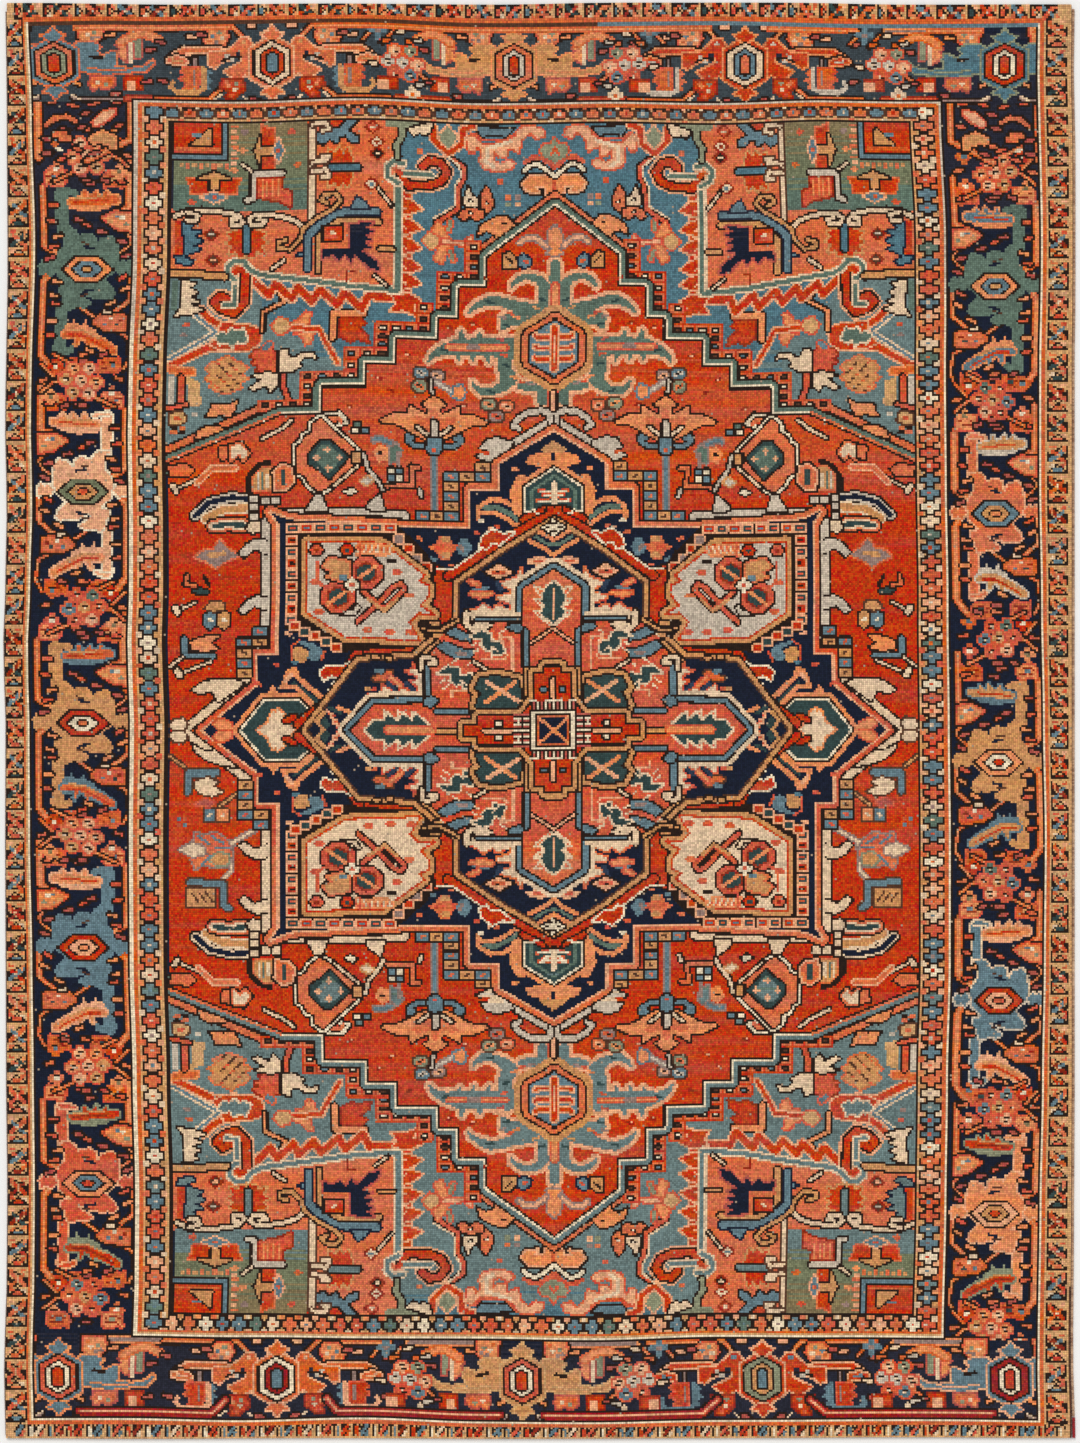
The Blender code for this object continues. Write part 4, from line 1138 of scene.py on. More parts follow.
    def corner_sprigs(self, p: Pen, y: float, up: int) -> None:
        """Loose leaves and blossoms that fill a side run's end, with the vines that frame it."""
        run = p.places[0]
        p = p.on(tuple(run.place([(0, y)])[0]), run.across, (0.0, float(up)))
        p.sketch("""
    vine 3: -23,3 ,-30  vine 3: 21.4,3 ,-20 0,-31  PEACH CORAL BROWN leaves: 5,-11.6,3 9,-8.6,4.4 13,-6,2.4
    CAMEL APRICOT BROWN leaves: 4,-20,3 8,-19,5 12,-20,4 13,-23,2.4
    SALMON BROWN leaves: -19,-13,2 -15,-9.6,2.6 -9,-8.6,2.4 -5,-11,2
    SALMON BROWN leaves: -15,-17.6,2.4 -10,-17,3 / -12,-20,2.4 -8,-19.6,3  IVORY 1.4: -14.6,-24.4 -12,-25.4
    CORAL blobs: -16,-1,.2 -6,-3,-.5 4,-2,.5 15,-1.4,-.3 -4,-25,-.7 -12,-30,.4 16,-13,
    ROSE blobs: 0,-7,.4 -2,-14, -19,-27,.2 4,,.5 -19,-20,-.4""")

    def open_half(self, p: Pen) -> None:
        """One side of an end palmette whose arms reach out to curl round a leaf, with its tulip and vines."""
        p.sketch("""
    vine 2: 10,8 20,18.4 58,  vine 1.8: 24,-11 33,-18.4 60,
    APRICOT CORAL BROWN: 24,17.4 31,17.6 34.6,14 33.6,9.6 29,7.8 24.6,9.8 22.4,13.6  STEEL spots: 30,14
    SAGE spots: 26.4,15.6  MAUVE spots: 28,10.8  CREAM spots: 25,12.6  ORANGE spots: 31.6,11.4
    MAUVE BROWN 1.6: 39.4,5 ,-4  body rim BROWN 2.6: 24,5.6 31,6.8 45,6.6 50,3.6
    body rim BROWN leaves: 53,1.6,1.6 49,,4 45,1,2.6  edge 1.2: 51,1.8 46.4,1.2
    body rim: 9,8 12,12.4 16,12.6 20,8.6 24.6,5.4 32,5.6 ,-1 29.4,-2 26,.6 21,2.6 17,4.6 15,3 15.6,.6
      20,-1.6 24.6,-3.8 21,-6.6 17.6,-7.8 13.6,-5.4 9,-8  BROWN 1.6: 16.4,3 21.4,3.4 25.4,1.4
    NAVY spots: 17,4.8  MIST spots: 20,1.6 22.6,4  edge spots: 14,10.6
    leaf CORAL: 37.6,-2 44.6,-1.8 46.6,-4 44,-5.6 47,-8 44,-9.4 45,-13 38,
    heart: 34,-2 30.4,-4.6 33,-6.4 30,-8.6 33,-10.4 31.4,-13 34,
    edge 2.4: 35,-2.4 ,-12.6 38,-14.6 49, 52,-12 51,-9.6  MAUVE 1.2: 39.6,-4 ,-11
    FLAME BRICK: 15,-8.6 25.6,-8 26.4,-12 22,-13.6 24,-17 20,-17.6 17,-15 14.6,-13.6  SAGE spots: 18,-10
    APRICOT spots: 22,-11  CREAM spots: 18.6,-13  SALMON spots: 23,-9.4  CORAL spots: 20.4,-16
    CREAM 1.2: 26.4,-15.6 29.4,-18  CREAM 1.2: 14.6,-17 11.6,-18.8  PEACH blobs: 10.4,18.8,0 41.4,13.6,.3
    ROSE blobs: 9,-18.4,.3 36,14.6,.2 57,11,.4 56,-9,""")

    def closed_half(self, p: Pen, palmette: Palmette) -> None:
        """One side of an end palmette with short arms, the scroll over them and the squares below."""
        body, rim = palmette.body, palmette.rim
        p.sketch("""
    MAUVE APRICOT BROWN 1.6: 24,18.4 58,  MAUVE BROWN 1.4: 8,-18 13,-19 34,-18.8
    CORAL BRICK 1.8: 34,-18.4 60,  APRICOT CORAL BROWN: 12,19.6 22.6, 23,14 20,11 13,11.4  SAGE spots: 19,16
    CREAM spots: 15.6,15  ORANGE spots: 14,17.6  MAUVE spots: 20.4,13.4 17.6,12.6
    SAGE ROSE: 37.6,13 41,12.6 ,3 38.4,  leaf ROSE: 34.6,12 ,1 31.6,3 30,6 32,7 29.6,9 32,11
    CREAM 1.8: 36,12 ,.6  leaf ORANGE 3: 32,11 37.6,14.6 43,15.4 49.6,12.4
    body rim: 9,9 12,11 18, 22,8.6 20,6.4 22.6,3 25,4.6 28.6,6 29.6,3 28.6,-2 36,-3 43,-1.6 46.6,1.6
      47.4,0 43,-4.4 30,-5 25,-6.4 19,-5 12,-4.4 9,-7  BROWN 1.8: 17.6,3.4 22.4,2.6""")
        p.line(rim if rim != body else PEACH, "16,-2.6 22,-3.4 34,-3.8", 1)
        p.sketch("""
    FLAME BRICK block: 33.6,-13.4 41.6,-7.4  PEACH block: 34.4,-14 38.8,-9
    SALMON ROSE: 17,-7.6 28,-7.4 28.6,-11 25,-13.6 21,-12.4 18,-14 16.6,-11  SAGE spots: 24,-11
    CREAM spots: 20,-10  ORANGE spots: 26,-9  APRICOT spots: 18,-12  CREAM 1.1: 8,-16.8 11.6,-18.8
    APRICOT blobs: 26.6,14.4,.3 10,-10.4,-.8  ROSE blobs: 46,7,.3 44,-9.6, 29,-16,.2""")

    def end_palmette(self, p: Pen, palmette: Palmette, level: float) -> None:
        """A palmette of an end run, with its arms."""
        p = palmette.pen(p).at(palmette.place, level)
        if palmette.arms > 0:
            self.open_half(p.doubled())
        else:
            self.closed_half(p.doubled(), palmette)
        p.sketch("body rim: 0,14 11,7.5 ,-7.5 0,-14 -11,-7.5 ,7.5")
        for up in (1, -1):
            spire = path("-2,12 -5.5,15 -2.5,15.5 0,18.8 2.5,15.5 5.5,15 2,12")
            p.area(palmette.body, " ".join(f"{x},{y * up}" for x, y in spire), palmette.rim)
        outer, middle, heart = palmette.rings
        for wool, half, reach, shoulder in (
                (BROWN, 10, 12, 6.5), (outer, 8.8, 10.8, 6), (BROWN, 6.2, 8.8, 5),
                (middle, 5.2, 7.8, 4.5), (BROWN, 3.2, 6, 4.5), (heart, 2.2, 4.6, 4)):
            lower = f"{half},{-shoulder} 0,{-reach} {-half},{-shoulder}"
            p.area(wool, f"0,{reach} {half},{shoulder} {lower} {-half},{shoulder}")

    def end_joint(self, p: Pen) -> None:
        """The cluster of roses beside a closed palmette, under a rosette, with what lies round it."""
        for text in ("-4.6,16 -10,9.6", "-16,16 -20,11", "3,-2 12,-8"):
            p.vine(text, 1.4)
        self.roses(p, (MIST, PEACH, SAGE, MIST, PEACH, CORAL, STEEL))
        self.sprig(p, -12.6, 16, STEEL, MAUVE, 1.1)
        self.sprig(p, 5, -16, CREAM, ORANGE, 0.9)
        p.sketch("""
    FLAME BRICK block: -12,-13.6 -3.4,-8  PEACH block: -12.6,-14 -7,-9  CREAM blobs: -1,15.6,.4 -15,-1,-.4
    ORANGE blobs: 4,11,.2 -8,,  MIST blobs: 8,11.4,.2 9,-11,.3""")

    def draw(self, pen: Pen) -> None:
        """Draw the side runs between the ends, then the end runs over the full width."""
        pen.block(NAVY, 15, 10, 524, 708.5)
        for middle, across, run, first, mixed in (
                (40, 1.0, self.left, 0, (0, 3)), (500.5, -0.95, self.right, 1, (1, 2, 3, 4))):
            p = pen.on((middle, 0.0), (across, 0.0))
            ys = [q.place for q in run]
            joints = [ys[0] - 57] + [(a + b) / 2 for a, b in zip(ys, ys[1:])] + [ys[-1] + 57]
            for palmette in run:
                self.side_palmette(p, palmette)
            for i, y in enumerate(joints):
                self.side_joint(p, y, (i + first) % 2 == 1, i in mixed)
            p.tuft(ORANGE, f"-14,{joints[0] - 11.6}", STEEL)
            p.tuft(APRICOT, f"12.6,{joints[0] - 11.6}", SAGE)
            for y, up in ((671, 1), (50, -1)):
                if abs(joints[-1 if up > 0 else 0] - y) > 24:
                    self.corner_sprigs(p, y, up)
        for level, run, low, high in ((690.2, self.top, 670.5, 710), (30.3, self.bottom, 10.5, 50.3)):
            pen.block(SLATE if level > 360 else NAVY, 15, low, 522, high)
            if level > 360:
                pen.block(NAVY, 470, low, 524, high)
            for palmette in run:
                self.end_palmette(pen, palmette, level)
            for a, b in zip(run, run[1:]):
                if b.place - a.place > 115:
                    closed, way = (a.place, 1) if a.arms < 0 else (b.place, -1)
                    self.end_joint(pen.at(closed + 57 * way, level, flip=way > 0))
        for text in ("36,708.4 112,", "156,708.4 358,", "388,708.4 428,", "470,708.4 496,"):
            pen.line(ORANGE, text, 3)
            pen.line(APRICOT, text, 0.9)
        for text in ("37,13.4 103, 110,20", "162,20 167,13.4 250,", "273,13.4 353, 361,20",
                     "408,20 416,13.4 500,"):
            pen.line(CORAL, text, 1.8, CRIMSON, BROWN)
            pen.line(PEACH, text, 0.9)


class Guards:
    """The narrow camel borders on both sides of the main one, with the lines between them."""

    def flower(self, p: Pen, wool: int, heart: int, soft: bool) -> None:
        """A four-petalled flower in a dark line, or a round one under two dark hooks."""
        if soft:
            p.area(wool, "-2.4,-1.4 -1.4,-3.2 1.4,-3.2 2.8,-1.4 2.8,1.4 1.4,3.2 -1.4,3.2 -2.4,1.4", UMBER)
            p.sketch("""
    BROWN 1.4: 3,-3 2.6,-1.8  BROWN 1.4: 3,3 2.6,1.8""")
        else:
            p.area(wool, "-1.6,3.2 1.6, ,1.4 4.3, ,-1.4 1.6, ,-3.2 -1.6, ,-1.4 -4.3, ,1.4 -1.6,", BROWN)
        p.block(heart, -0.9, -0.7, 0.9, 0.7)

    def inner_run(self, p: Pen, start: float, stop: float, step: float, first: int,
                  soft: bool = False) -> None:
        """A row of flowers, with a small square on each side between them.

        Args:
            p: a pen whose second axis runs along the guard.
            start: where the row begins.
            stop: where it ends.
            step: from one flower to the next, in knots.
            first: how far into its wools the row begins.
            soft: whether its flowers are the round ones.
        """
        wools = (STEEL, SALMON, IVORY, CORAL, SEA, PEACH, STEEL, CORAL, CREAM, SALMON, STEEL)
        hearts = (CORAL, STEEL, FLAME, MIST, MAUVE, CREAM, ORANGE)
        count = round((stop - start) / step)
        pitch = (stop - start) / count
        for i in range(count):
            f = p.at(0, start + (i + 0.5) * pitch)
            for side in (-1, 1):
                wool = (APRICOT, CREAM, SALMON, CAMEL, PEACH)[(i * 2 + side + first) % 5]
                f.block(wool, 4.5 * side - 1.4, -pitch / 2 - 1.4, 4.5 * side + 1.4, -pitch / 2 + 1.4)
            wool = wools[(i * 4 + i // 5 + first) % 11]
            if soft:
                wool = (STEEL, SALMON)[i % 2]
            self.flower(f, wool, hearts[(i + i // 3 + first) % 7], soft)

    def outer_run(self, p: Pen, start: float, stop: float, first: int) -> None:
        """Small trees on angled brackets, with slanting blossoms between them."""
        wools = (STEEL, FLAME, CORAL, PINE, SALMON, BRICK, STEEL, CORAL, ORANGE)
        count = round((stop - start) / 15.2)
        pitch = (stop - start) / count
        for i in range(count):
            f = p.at(0, start + i * pitch, flip=i % 3 == 1)
            tree, bud, heart = (wools[n % 9] for n in (i * 4 + first, i * 5 + first + 2, i * 2 + first))
            f.line((APRICOT, CORAL, ORANGE)[i % 3], "2.6,4.4 4,5", 1.8)
            f.line((PEACH, SALMON, CORAL)[i % 3], "-4,14 -1.6,13.6", 1.4)
            f.sketch("""
    BROWN 1: -5,1 5, 5.2,6.6  BROWN 1: -4.6,1.4 -.4,4.8 4.2,1.6""")
            f.line(tree, "-1.6,2.3 1.4,2.3", 1.7)
            f.sketch("""
    BROWN 1: -5.2,6.4 -5,10.6  BROWN 2.6: -4.6,8.6 -1.4,11  BROWN 2.6: 1.4,7.2 4.4,9.4""")
            f.line(bud, "-3.6,7 3.4,12.2", 2.2)
            f.line(heart, "-3,11.6 -0.6,10.2", 1.7)
            f.line(heart, "1.2,7.8 3.6,6.6", 1.7)
            f.sketch("""
    BROWN 1: -1.8,6.2 .6,7.2  BROWN 1: 0,12.2 1.8,13.4  BROWN 1: 5,11 5.2,14.2""")
            f.line((ORANGE, SALMON, APRICOT)[i % 3], "3.2,11.6 3.4,13.8", 1.6)
            f.line((SALMON, CREAM, PEACH)[i % 3], "-3.8,3.6 -2.6,4.2", 1.5)
            f.line((CREAM, PEACH, MIST)[i % 3], "-0.4,9.6 0.4,9.6", 1.3)

    def end_run(self, p: Pen, start: float, stop: float) -> None:
        """Slanting blossoms, each with a small dark hook beside it."""
        wools = (STEEL, CORAL, FLAME, CREAM, BRICK, STEEL, CORAL)
        count = round((stop - start) / 9.6)
        pitch = (stop - start) / count
        for i in range(count):
            f = p.at(0, start + (i + 0.5) * pitch)
            wool = wools[i * 3 % 7]
            f.sketch("""
    BROWN 1: -2.8,-3.4 1.8,0  BROWN 1: -.6,-5 2.8,-2.4""")
            f.line(wool, "-2.2,-4.2 2,-1.4", 1.7)
            f.line(wools[(i * 5 + 1) % 7], "-2.6,-1.8 -1.2,-1", 1.5)
            f.sketch("BROWN 1: -3,1.6 1.8, 2.8,3 2.6,5 .6,")
            f.line((IVORY, STEEL, FLAME)[i % 3], "-2.6,3.2 1,3", 1.4)

    def draw(self, pen: Pen) -> None:
        """Draw every run, then the lines between them."""
        for x0, y0, x1, y1 in ((0, 0, 540, 10), (0, 711, 540, 720), (0, 0, 13, 720), (525, 0, 540, 720),
                               (64, 50, 477, 62.6), (64, 660, 477, 671), (64, 50, 82, 671),
                               (461, 50, 477, 671)):
            pen.block(GOLD, x0, y0, x1, y1)
        for middle, flip, first in ((5.4, 1.0, 0), (532.6, -1.0, 2)):
            self.outer_run(pen.on((middle, 0.0), (flip, 0.0)), 8, 714, first)
        self.outer_run(pen.on((0.0, 716.6), (0.0, -0.62), (1.0, 0.0)), 5, 534, 1)
        self.end_run(pen.on((0.0, 4.4), (0.0, 1.0), (1.0, 0.0)), 5, 536)
        for middle, step, first in ((73, 7.6, 0), (467.4, 6.8, 3)):
            self.inner_run(pen.on((middle, 0.0)), 54, 669, step, first)
        for middle, first, soft in ((664.8, 1, True), (57.6, 5, False)):
            self.inner_run(pen.on((0.0, middle), (0.0, 0.86), (1.0, 0.0)), 78, 465, 8.55, first, soft)
        outline = "{0},{1} {2},{1} {2},{3} {0},{3} {0},{1}"
        for wool, width, x0, y0, x1, y1 in (
                (ORANGE, 1.5, 11.6, 8, 525.2, 713), (IVORY, 1.3, 13.4, 9.7, 523.4, 711.3),
                (BROWN, 1.1, 14.6, 10.8, 522.2, 710.6), (BROWN, 1.1, 62.8, 50.4, 476.9, 671.8),
                (IVORY, 1.3, 64, 51.5, 475.7, 670.7),
                (ORANGE, 1.1, 66, 53.2, 474, 669), (BROWN, 1.2, 80.9, 62.6, 460.9, 660.4)):
            pen.line(wool, outline.format(x0, y0, x1, y1), width)
        pen.sketch("""
    UMBER 1.2: 539.2,0 ,76  ORANGE 1.3: 12,712.4 525,  UMBER 1.1: 14,711 300,  STEEL 1.1: 300,711 523,
    MIST 1.3: 64,560 ,670.7 475.7, ,575""")


# Dye lots: each is a wool, the wool that took its place, and the rows it ran for. The weaver changed to
# a new lot within a band of rows, not at a line.
LOTS = (
    (FLAME, EMBER, 476, 544), (FLAME, VERMILION, 214, 300), (FLAME, VERMILION, 330, 476),
    (FLAME, VERMILION, 556, 596), (SALMON, CORAL, 290, 424), (MIST, CREAM, 215, 330), (SKY, TEAL, 466, 546),
    (SKY, TEAL, 62, 240), (SEA, TEAL, 60, 236), (NAVY, INK, 0, 56), (NAVY, INK, 600, 712),
)


def change_lots(knots: np.ndarray) -> None:
    """Swap wools over bands of rows, with ragged ends where both lots were in use."""
    rng = np.random.default_rng(8)
    rows = np.arange(KNOTS_HIGH)[:, None]
    spans = rng.random((KNOTS_HIGH, KNOTS_WIDE // 36 + 1)).repeat(36, 1)[:, :KNOTS_WIDE]
    for old, new, low, high in LOTS:
        depth = np.minimum(rows - low, high - rows) / 14
        knots[(spans < depth) & (knots == old)] = new


def weave_design() -> np.ndarray:
    """Draw the whole cartoon."""
    cartoon = Cartoon()
    pen = Pen(cartoon)
    MainBorder().draw(pen)
    left, right = (MIDDLE_X - FIELD_LEFT) / HALF_WIDTH, (FIELD_RIGHT - MIDDLE_X) / HALF_WIDTH
    top, bottom = (FIELD_TOP - MIDDLE_Y) / HALF_HEIGHT, (MIDDLE_Y - FIELD_BOTTOM) / HALF_HEIGHT
    sides = (-left, top), (right, top), (-left, -bottom), (right, -bottom)
    quarters = Pen(cartoon, tuple(Axes((MIDDLE_X, MIDDLE_Y), (x, 0.0), (0.0, y)) for x, y in sides))
    BlueGround().draw(pen, quarters)
    CornerPiece().draw(quarters)
    RedGround().draw(quarters)
    Medallion().draw(quarters)
    Guards().draw(pen)
    change_lots(cartoon.knots)
    return cartoon.knots


def linear(colour: str) -> tuple[float, float, float, float]:
    """Turn an sRGB hex colour to a linear one.

    Args:
        colour: the colour, such as "#c0a080".

    Returns:
        Its linear red, green and blue, and an alpha of 1.
    """
    parts = [int(colour[i:i + 2], 16) / 255 for i in (1, 3, 5)]
    return (*(c / 12.92 if c <= 0.04045 else ((c + 0.055) / 1.055) ** 2.4 for c in parts), 1.0)


def add(tree: bpy.types.NodeTree, kind: str, sockets: dict, **settings: object) -> bpy.types.Node:
    """Add a node.

    Args:
        tree: where it goes.
        kind: the node's type, after ShaderNode.
        sockets: what each input holds, by name or number: a value, or a socket to link from.
        settings: the node's own settings.

    Returns:
        The node.
    """
    node = tree.nodes.new("ShaderNode" + kind)
    for name, value in settings.items():
        setattr(node, name, value)
    for name, value in sockets.items():
        if isinstance(value, bpy.types.NodeSocket):
            tree.links.new(value, node.inputs[name])
        else:
            node.inputs[name].default_value = value
    return node


def maths(tree: bpy.types.NodeTree, operation: str, *values: object,
          kind: str = "Math") -> bpy.types.NodeSocket:
    """The result of a new math node."""
    return add(tree, kind, dict(enumerate(values)), operation=operation).outputs[0]


def vector(tree: bpy.types.NodeTree, operation: str, *values: object) -> bpy.types.NodeSocket:
    """The result of a new vector math node."""
    return maths(tree, operation, *values, kind="VectorMath")


def deselect() -> None:
    """Leave nothing selected, so that an operator acts on its own piece alone."""
    bpy.ops.object.select_all(action="DESELECT")


def apply_modifiers(piece: bpy.types.Object) -> None:
    """Apply every modifier of a piece, in order."""
    deselect()
    piece.select_set(True)
    bpy.context.view_layer.objects.active = piece
    for modifier in list(piece.modifiers):
        bpy.ops.object.modifier_apply(modifier=modifier.name)


@dataclass(frozen=True)
class PileWool:
    """Hand-spun, hand-dyed wool pile, cut short and worn: matt, with a soft sheen, each knot a little
    darker or lighter than the next, and each dye lot a band across the rug."""

    roughness: float = 0.93
    gloss: float = 0.12
    sheen: float = 0.06
    sheen_roughness: float = 0.6
    knot_change: float = 0.58  # how far one knot's shade may lie from the next one's
    yarn_change: float = 0.5
    lot_change: float = 0.5
    yarn_grain: tuple[float, float, float] = (0.05, 0.9, 0)  # how fast yarn changes, per knot and per row
    lot_grain: tuple[float, float, float] = (0.008, 0.09, 0)
    hue_change: float = 0.02
    dye_change: float = 0.3
    weakest_dye: float = 0.87
    gap_shade: float = 0.6  # painted shade: a gap's lightness beside a tuft's
    # painted light: how much lighter a tuft's top is painted than its wool
    tuft_light: float = 1.08
    bare_knots: float = 0.003  # share of knots worn down to the cotton
    knot_relief: float = 0.0007  # metres: a worn tuft stands this far above the gaps round it
    worn_brown: float = 0.0009  # the iron in dark brown dye eats the wool, so its knots lie lower

    def wool_number(self, tree: bpy.types.NodeTree, knot: bpy.types.NodeSocket) -> bpy.types.NodeSocket:
        """Nodes that read which wool a knot has.

        A face holds a block of 4 by 4 knots: a channel for each row, and in it a base-32 digit for each
        knot of the row.

        Args:
            tree: where the nodes go.
            knot: the column and row of the knot.

        Returns:
            The number of its wool.
        """
        split = add(tree, "SeparateXYZ", {0: knot}).outputs
        packed = add(tree, "Attribute", {}, attribute_name=Pile.ATTRIBUTE).outputs
        rows = add(tree, "SeparateColor", {0: packed["Color"]}).outputs
        row = maths(tree, "MODULO", split[1], Pile.BLOCK)
        total = 0.0
        for j, channel in enumerate((*rows, packed["Alpha"])):
            total = maths(tree, "MULTIPLY_ADD", channel, maths(tree, "COMPARE", row, j, 0.5), total)
        place = maths(tree, "POWER", Pile.BASE, maths(tree, "MODULO", split[0], Pile.BLOCK))
        shifted = maths(tree, "DIVIDE", maths(tree, "ADD", total, 0.5), place)
        return maths(tree, "MODULO", maths(tree, "FLOOR", shifted), Pile.BASE)

    def palette(self, tree: bpy.types.NodeTree, number: bpy.types.NodeSocket) -> bpy.types.NodeSocket:
        """Nodes that give a wool's colour."""
        place = maths(tree, "MULTIPLY_ADD", number, 1 / Pile.BASE, 0.5 / Pile.BASE)
        ramp = add(tree, "ValToRGB", {0: place})
        ramp.color_ramp.interpolation = "CONSTANT"
        stops = ramp.color_ramp.elements
        stops.remove(stops[1])
        for wool in Wool:
            stop = stops[0] if wool == 0 else stops.new(wool / Pile.BASE)
            stop.color = linear(wool.colour)
        return ramp.outputs["Color"]

    def material(self, name: str, back: bool) -> bpy.types.Material:
        """Make the pile's material, or the flatter one of its back.

        Args:
            name: the material's name.
            back: whether it is for the underside, where the knots' backs show between cotton wefts.

        Returns:
            The material.
        """
        material = bpy.data.materials.new(name)
        material.use_nodes = True
        tree = material.node_tree
        shader = tree.nodes["Principled BSDF"]
        shader.inputs["Roughness"].default_value = self.roughness
        shader.inputs["Specular IOR Level"].default_value = self.gloss
        shader.inputs["Sheen Weight"].default_value = 0.0 if back else self.sheen
        shader.inputs["Sheen Roughness"].default_value = self.sheen_roughness

        cloth = add(tree, "UVMap", {}, uv_map=Pile.KNOT_MAP).outputs[0]
        place = vector(tree, "MULTIPLY", cloth, (KNOTS_WIDE, KNOTS_HIGH, 0))
        # The rim's own edge still reads the last knot.
        place = vector(tree, "MINIMUM", place, (KNOTS_WIDE - 0.01, KNOTS_HIGH - 0.01, 0))
        knot = vector(tree, "FLOOR", place)
        number = self.wool_number(tree, knot)

        # Each knot is spun and dyed a little differently, each row has its own lengths of yarn, and each
        # dye lot is a band of rows.
        each = add(tree, "TexWhiteNoise", {0: knot}, noise_dimensions="2D").outputs
        yarn = vector(tree, "MULTIPLY", knot, self.yarn_grain)
        yarn = add(tree, "TexNoise", {0: yarn, "Scale": 1.0, "Detail": 1.0}).outputs[0]
        lots = vector(tree, "MULTIPLY", knot, self.lot_grain)
        lots = add(tree, "TexNoise", {0: lots, "Scale": 1.0, "Detail": 4.0, "Roughness": 0.65}).outputs[0]
        value = maths(tree, "MULTIPLY_ADD", each["Value"], self.knot_change, 1 - self.knot_change / 2)
        value = maths(tree, "MULTIPLY_ADD", yarn, self.yarn_change, value)
        value = maths(tree, "MULTIPLY_ADD", lots, self.lot_change, value)
        spun = add(tree, "SeparateColor", {0: each["Color"]}).outputs
        dyed = add(tree, "HueSaturation", {
            "Color": self.palette(tree, number),
            "Value": maths(tree, "SUBTRACT", value, (self.yarn_change + self.lot_change) / 2),
            "Hue": maths(tree, "MULTIPLY_ADD", spun[1], self.hue_change, 0.5 - self.hue_change / 2),
            "Saturation": maths(tree, "MULTIPLY_ADD", lots, self.dye_change, self.weakest_dye)}).outputs[0]
        bare = maths(tree, "GREATER_THAN", spun[0], 1 - self.bare_knots)
        dyed = add(tree, "Mix", {0: bare, 6: dyed, 7: linear("#a8927a")}, data_type="RGBA").outputs[2]

        # A worn tuft is round on top, and the gaps between tufts are in shade: the bump gives the relief, and
        # the shade in the gaps and the light on the tufts' tops are painted into the colour.
        inside = vector(tree, "FRACTION", place)
        wave = vector(tree, "SINE", vector(tree, "MULTIPLY", inside, (math.pi, math.pi, 0)))
        sides = add(tree, "SeparateXYZ", {0: wave}).outputs
        tuft = maths(tree, "POWER", maths(tree, "MULTIPLY", sides[0], sides[1]), 0.5)
        relief = maths(tree, "MULTIPLY", tuft, self.knot_relief)
        brown = maths(tree, "COMPARE", number, BROWN, 0.5)
        sunk = maths(tree, "MULTIPLY_ADD", brown, -self.worn_brown, relief)
        bump = add(tree, "Bump", {"Height": sunk, "Distance": 1.0, "Strength": 0.5 if back else 1.0})
        # Painted shade in the gaps and painted light on the tufts' tops, scaled into the base colour.
        gap = add(tree, "MapRange", {0: tuft, 1: 0.0, 2: 0.8, 3: self.gap_shade, 4: self.tuft_light})
        final = add(tree, "VectorMath", {0: dyed, 3: gap.outputs[0]}, operation="SCALE")
        tree.links.new(final.outputs[0], shader.inputs["Base Color"])
        tree.links.new(bump.outputs[0], shader.inputs["Normal"])
        return material


# How far the woven lines stray, in knots, at every 60th knot from the bottom or the left: the warps were
# not all strung as tight, and the wefts not beaten in evenly. Each line is named by its place.
STRAY_STEP = 60
STRAY_ACROSS = {
    13: "0 -.5 -.5 -.5 -1 -2 -2.5 -2 -1.5 -1.5 -.5 -2 -3.5",
    73: "1.5 2 2 1 -.5 -.5 0 -.5 -1.5 -1 .5 1.5 1.5",
    277: "0 0 0 0 0 0 0 0 0 0 0 0 0",
    468: "-.5 -.5 .5 1 2.5 2.5 2 1.5 .5 0 -.5 -3 -3",
    523: "0 .5 1 2 3 3.5 2.5 1.5 .5 .5 1 0 0",
}
STRAY_ALONG = {
    10: "0 .5 -1 .5 -1.5 -2 -1 -1 -1 -1.5",
    57: "1 1 0 -1 -.5 -1.5 0 -.5 -1 -1",
    355: "0 0 0 0 0 0 0 0 0 0",
    665: ".5 1 0 1.5 -.5 -.5 -1.5 .5 .5 .5",
    711: "-2 -.5 0 .5 -1.5 -2 -1.5 -2.5 -2 -1.5",
}


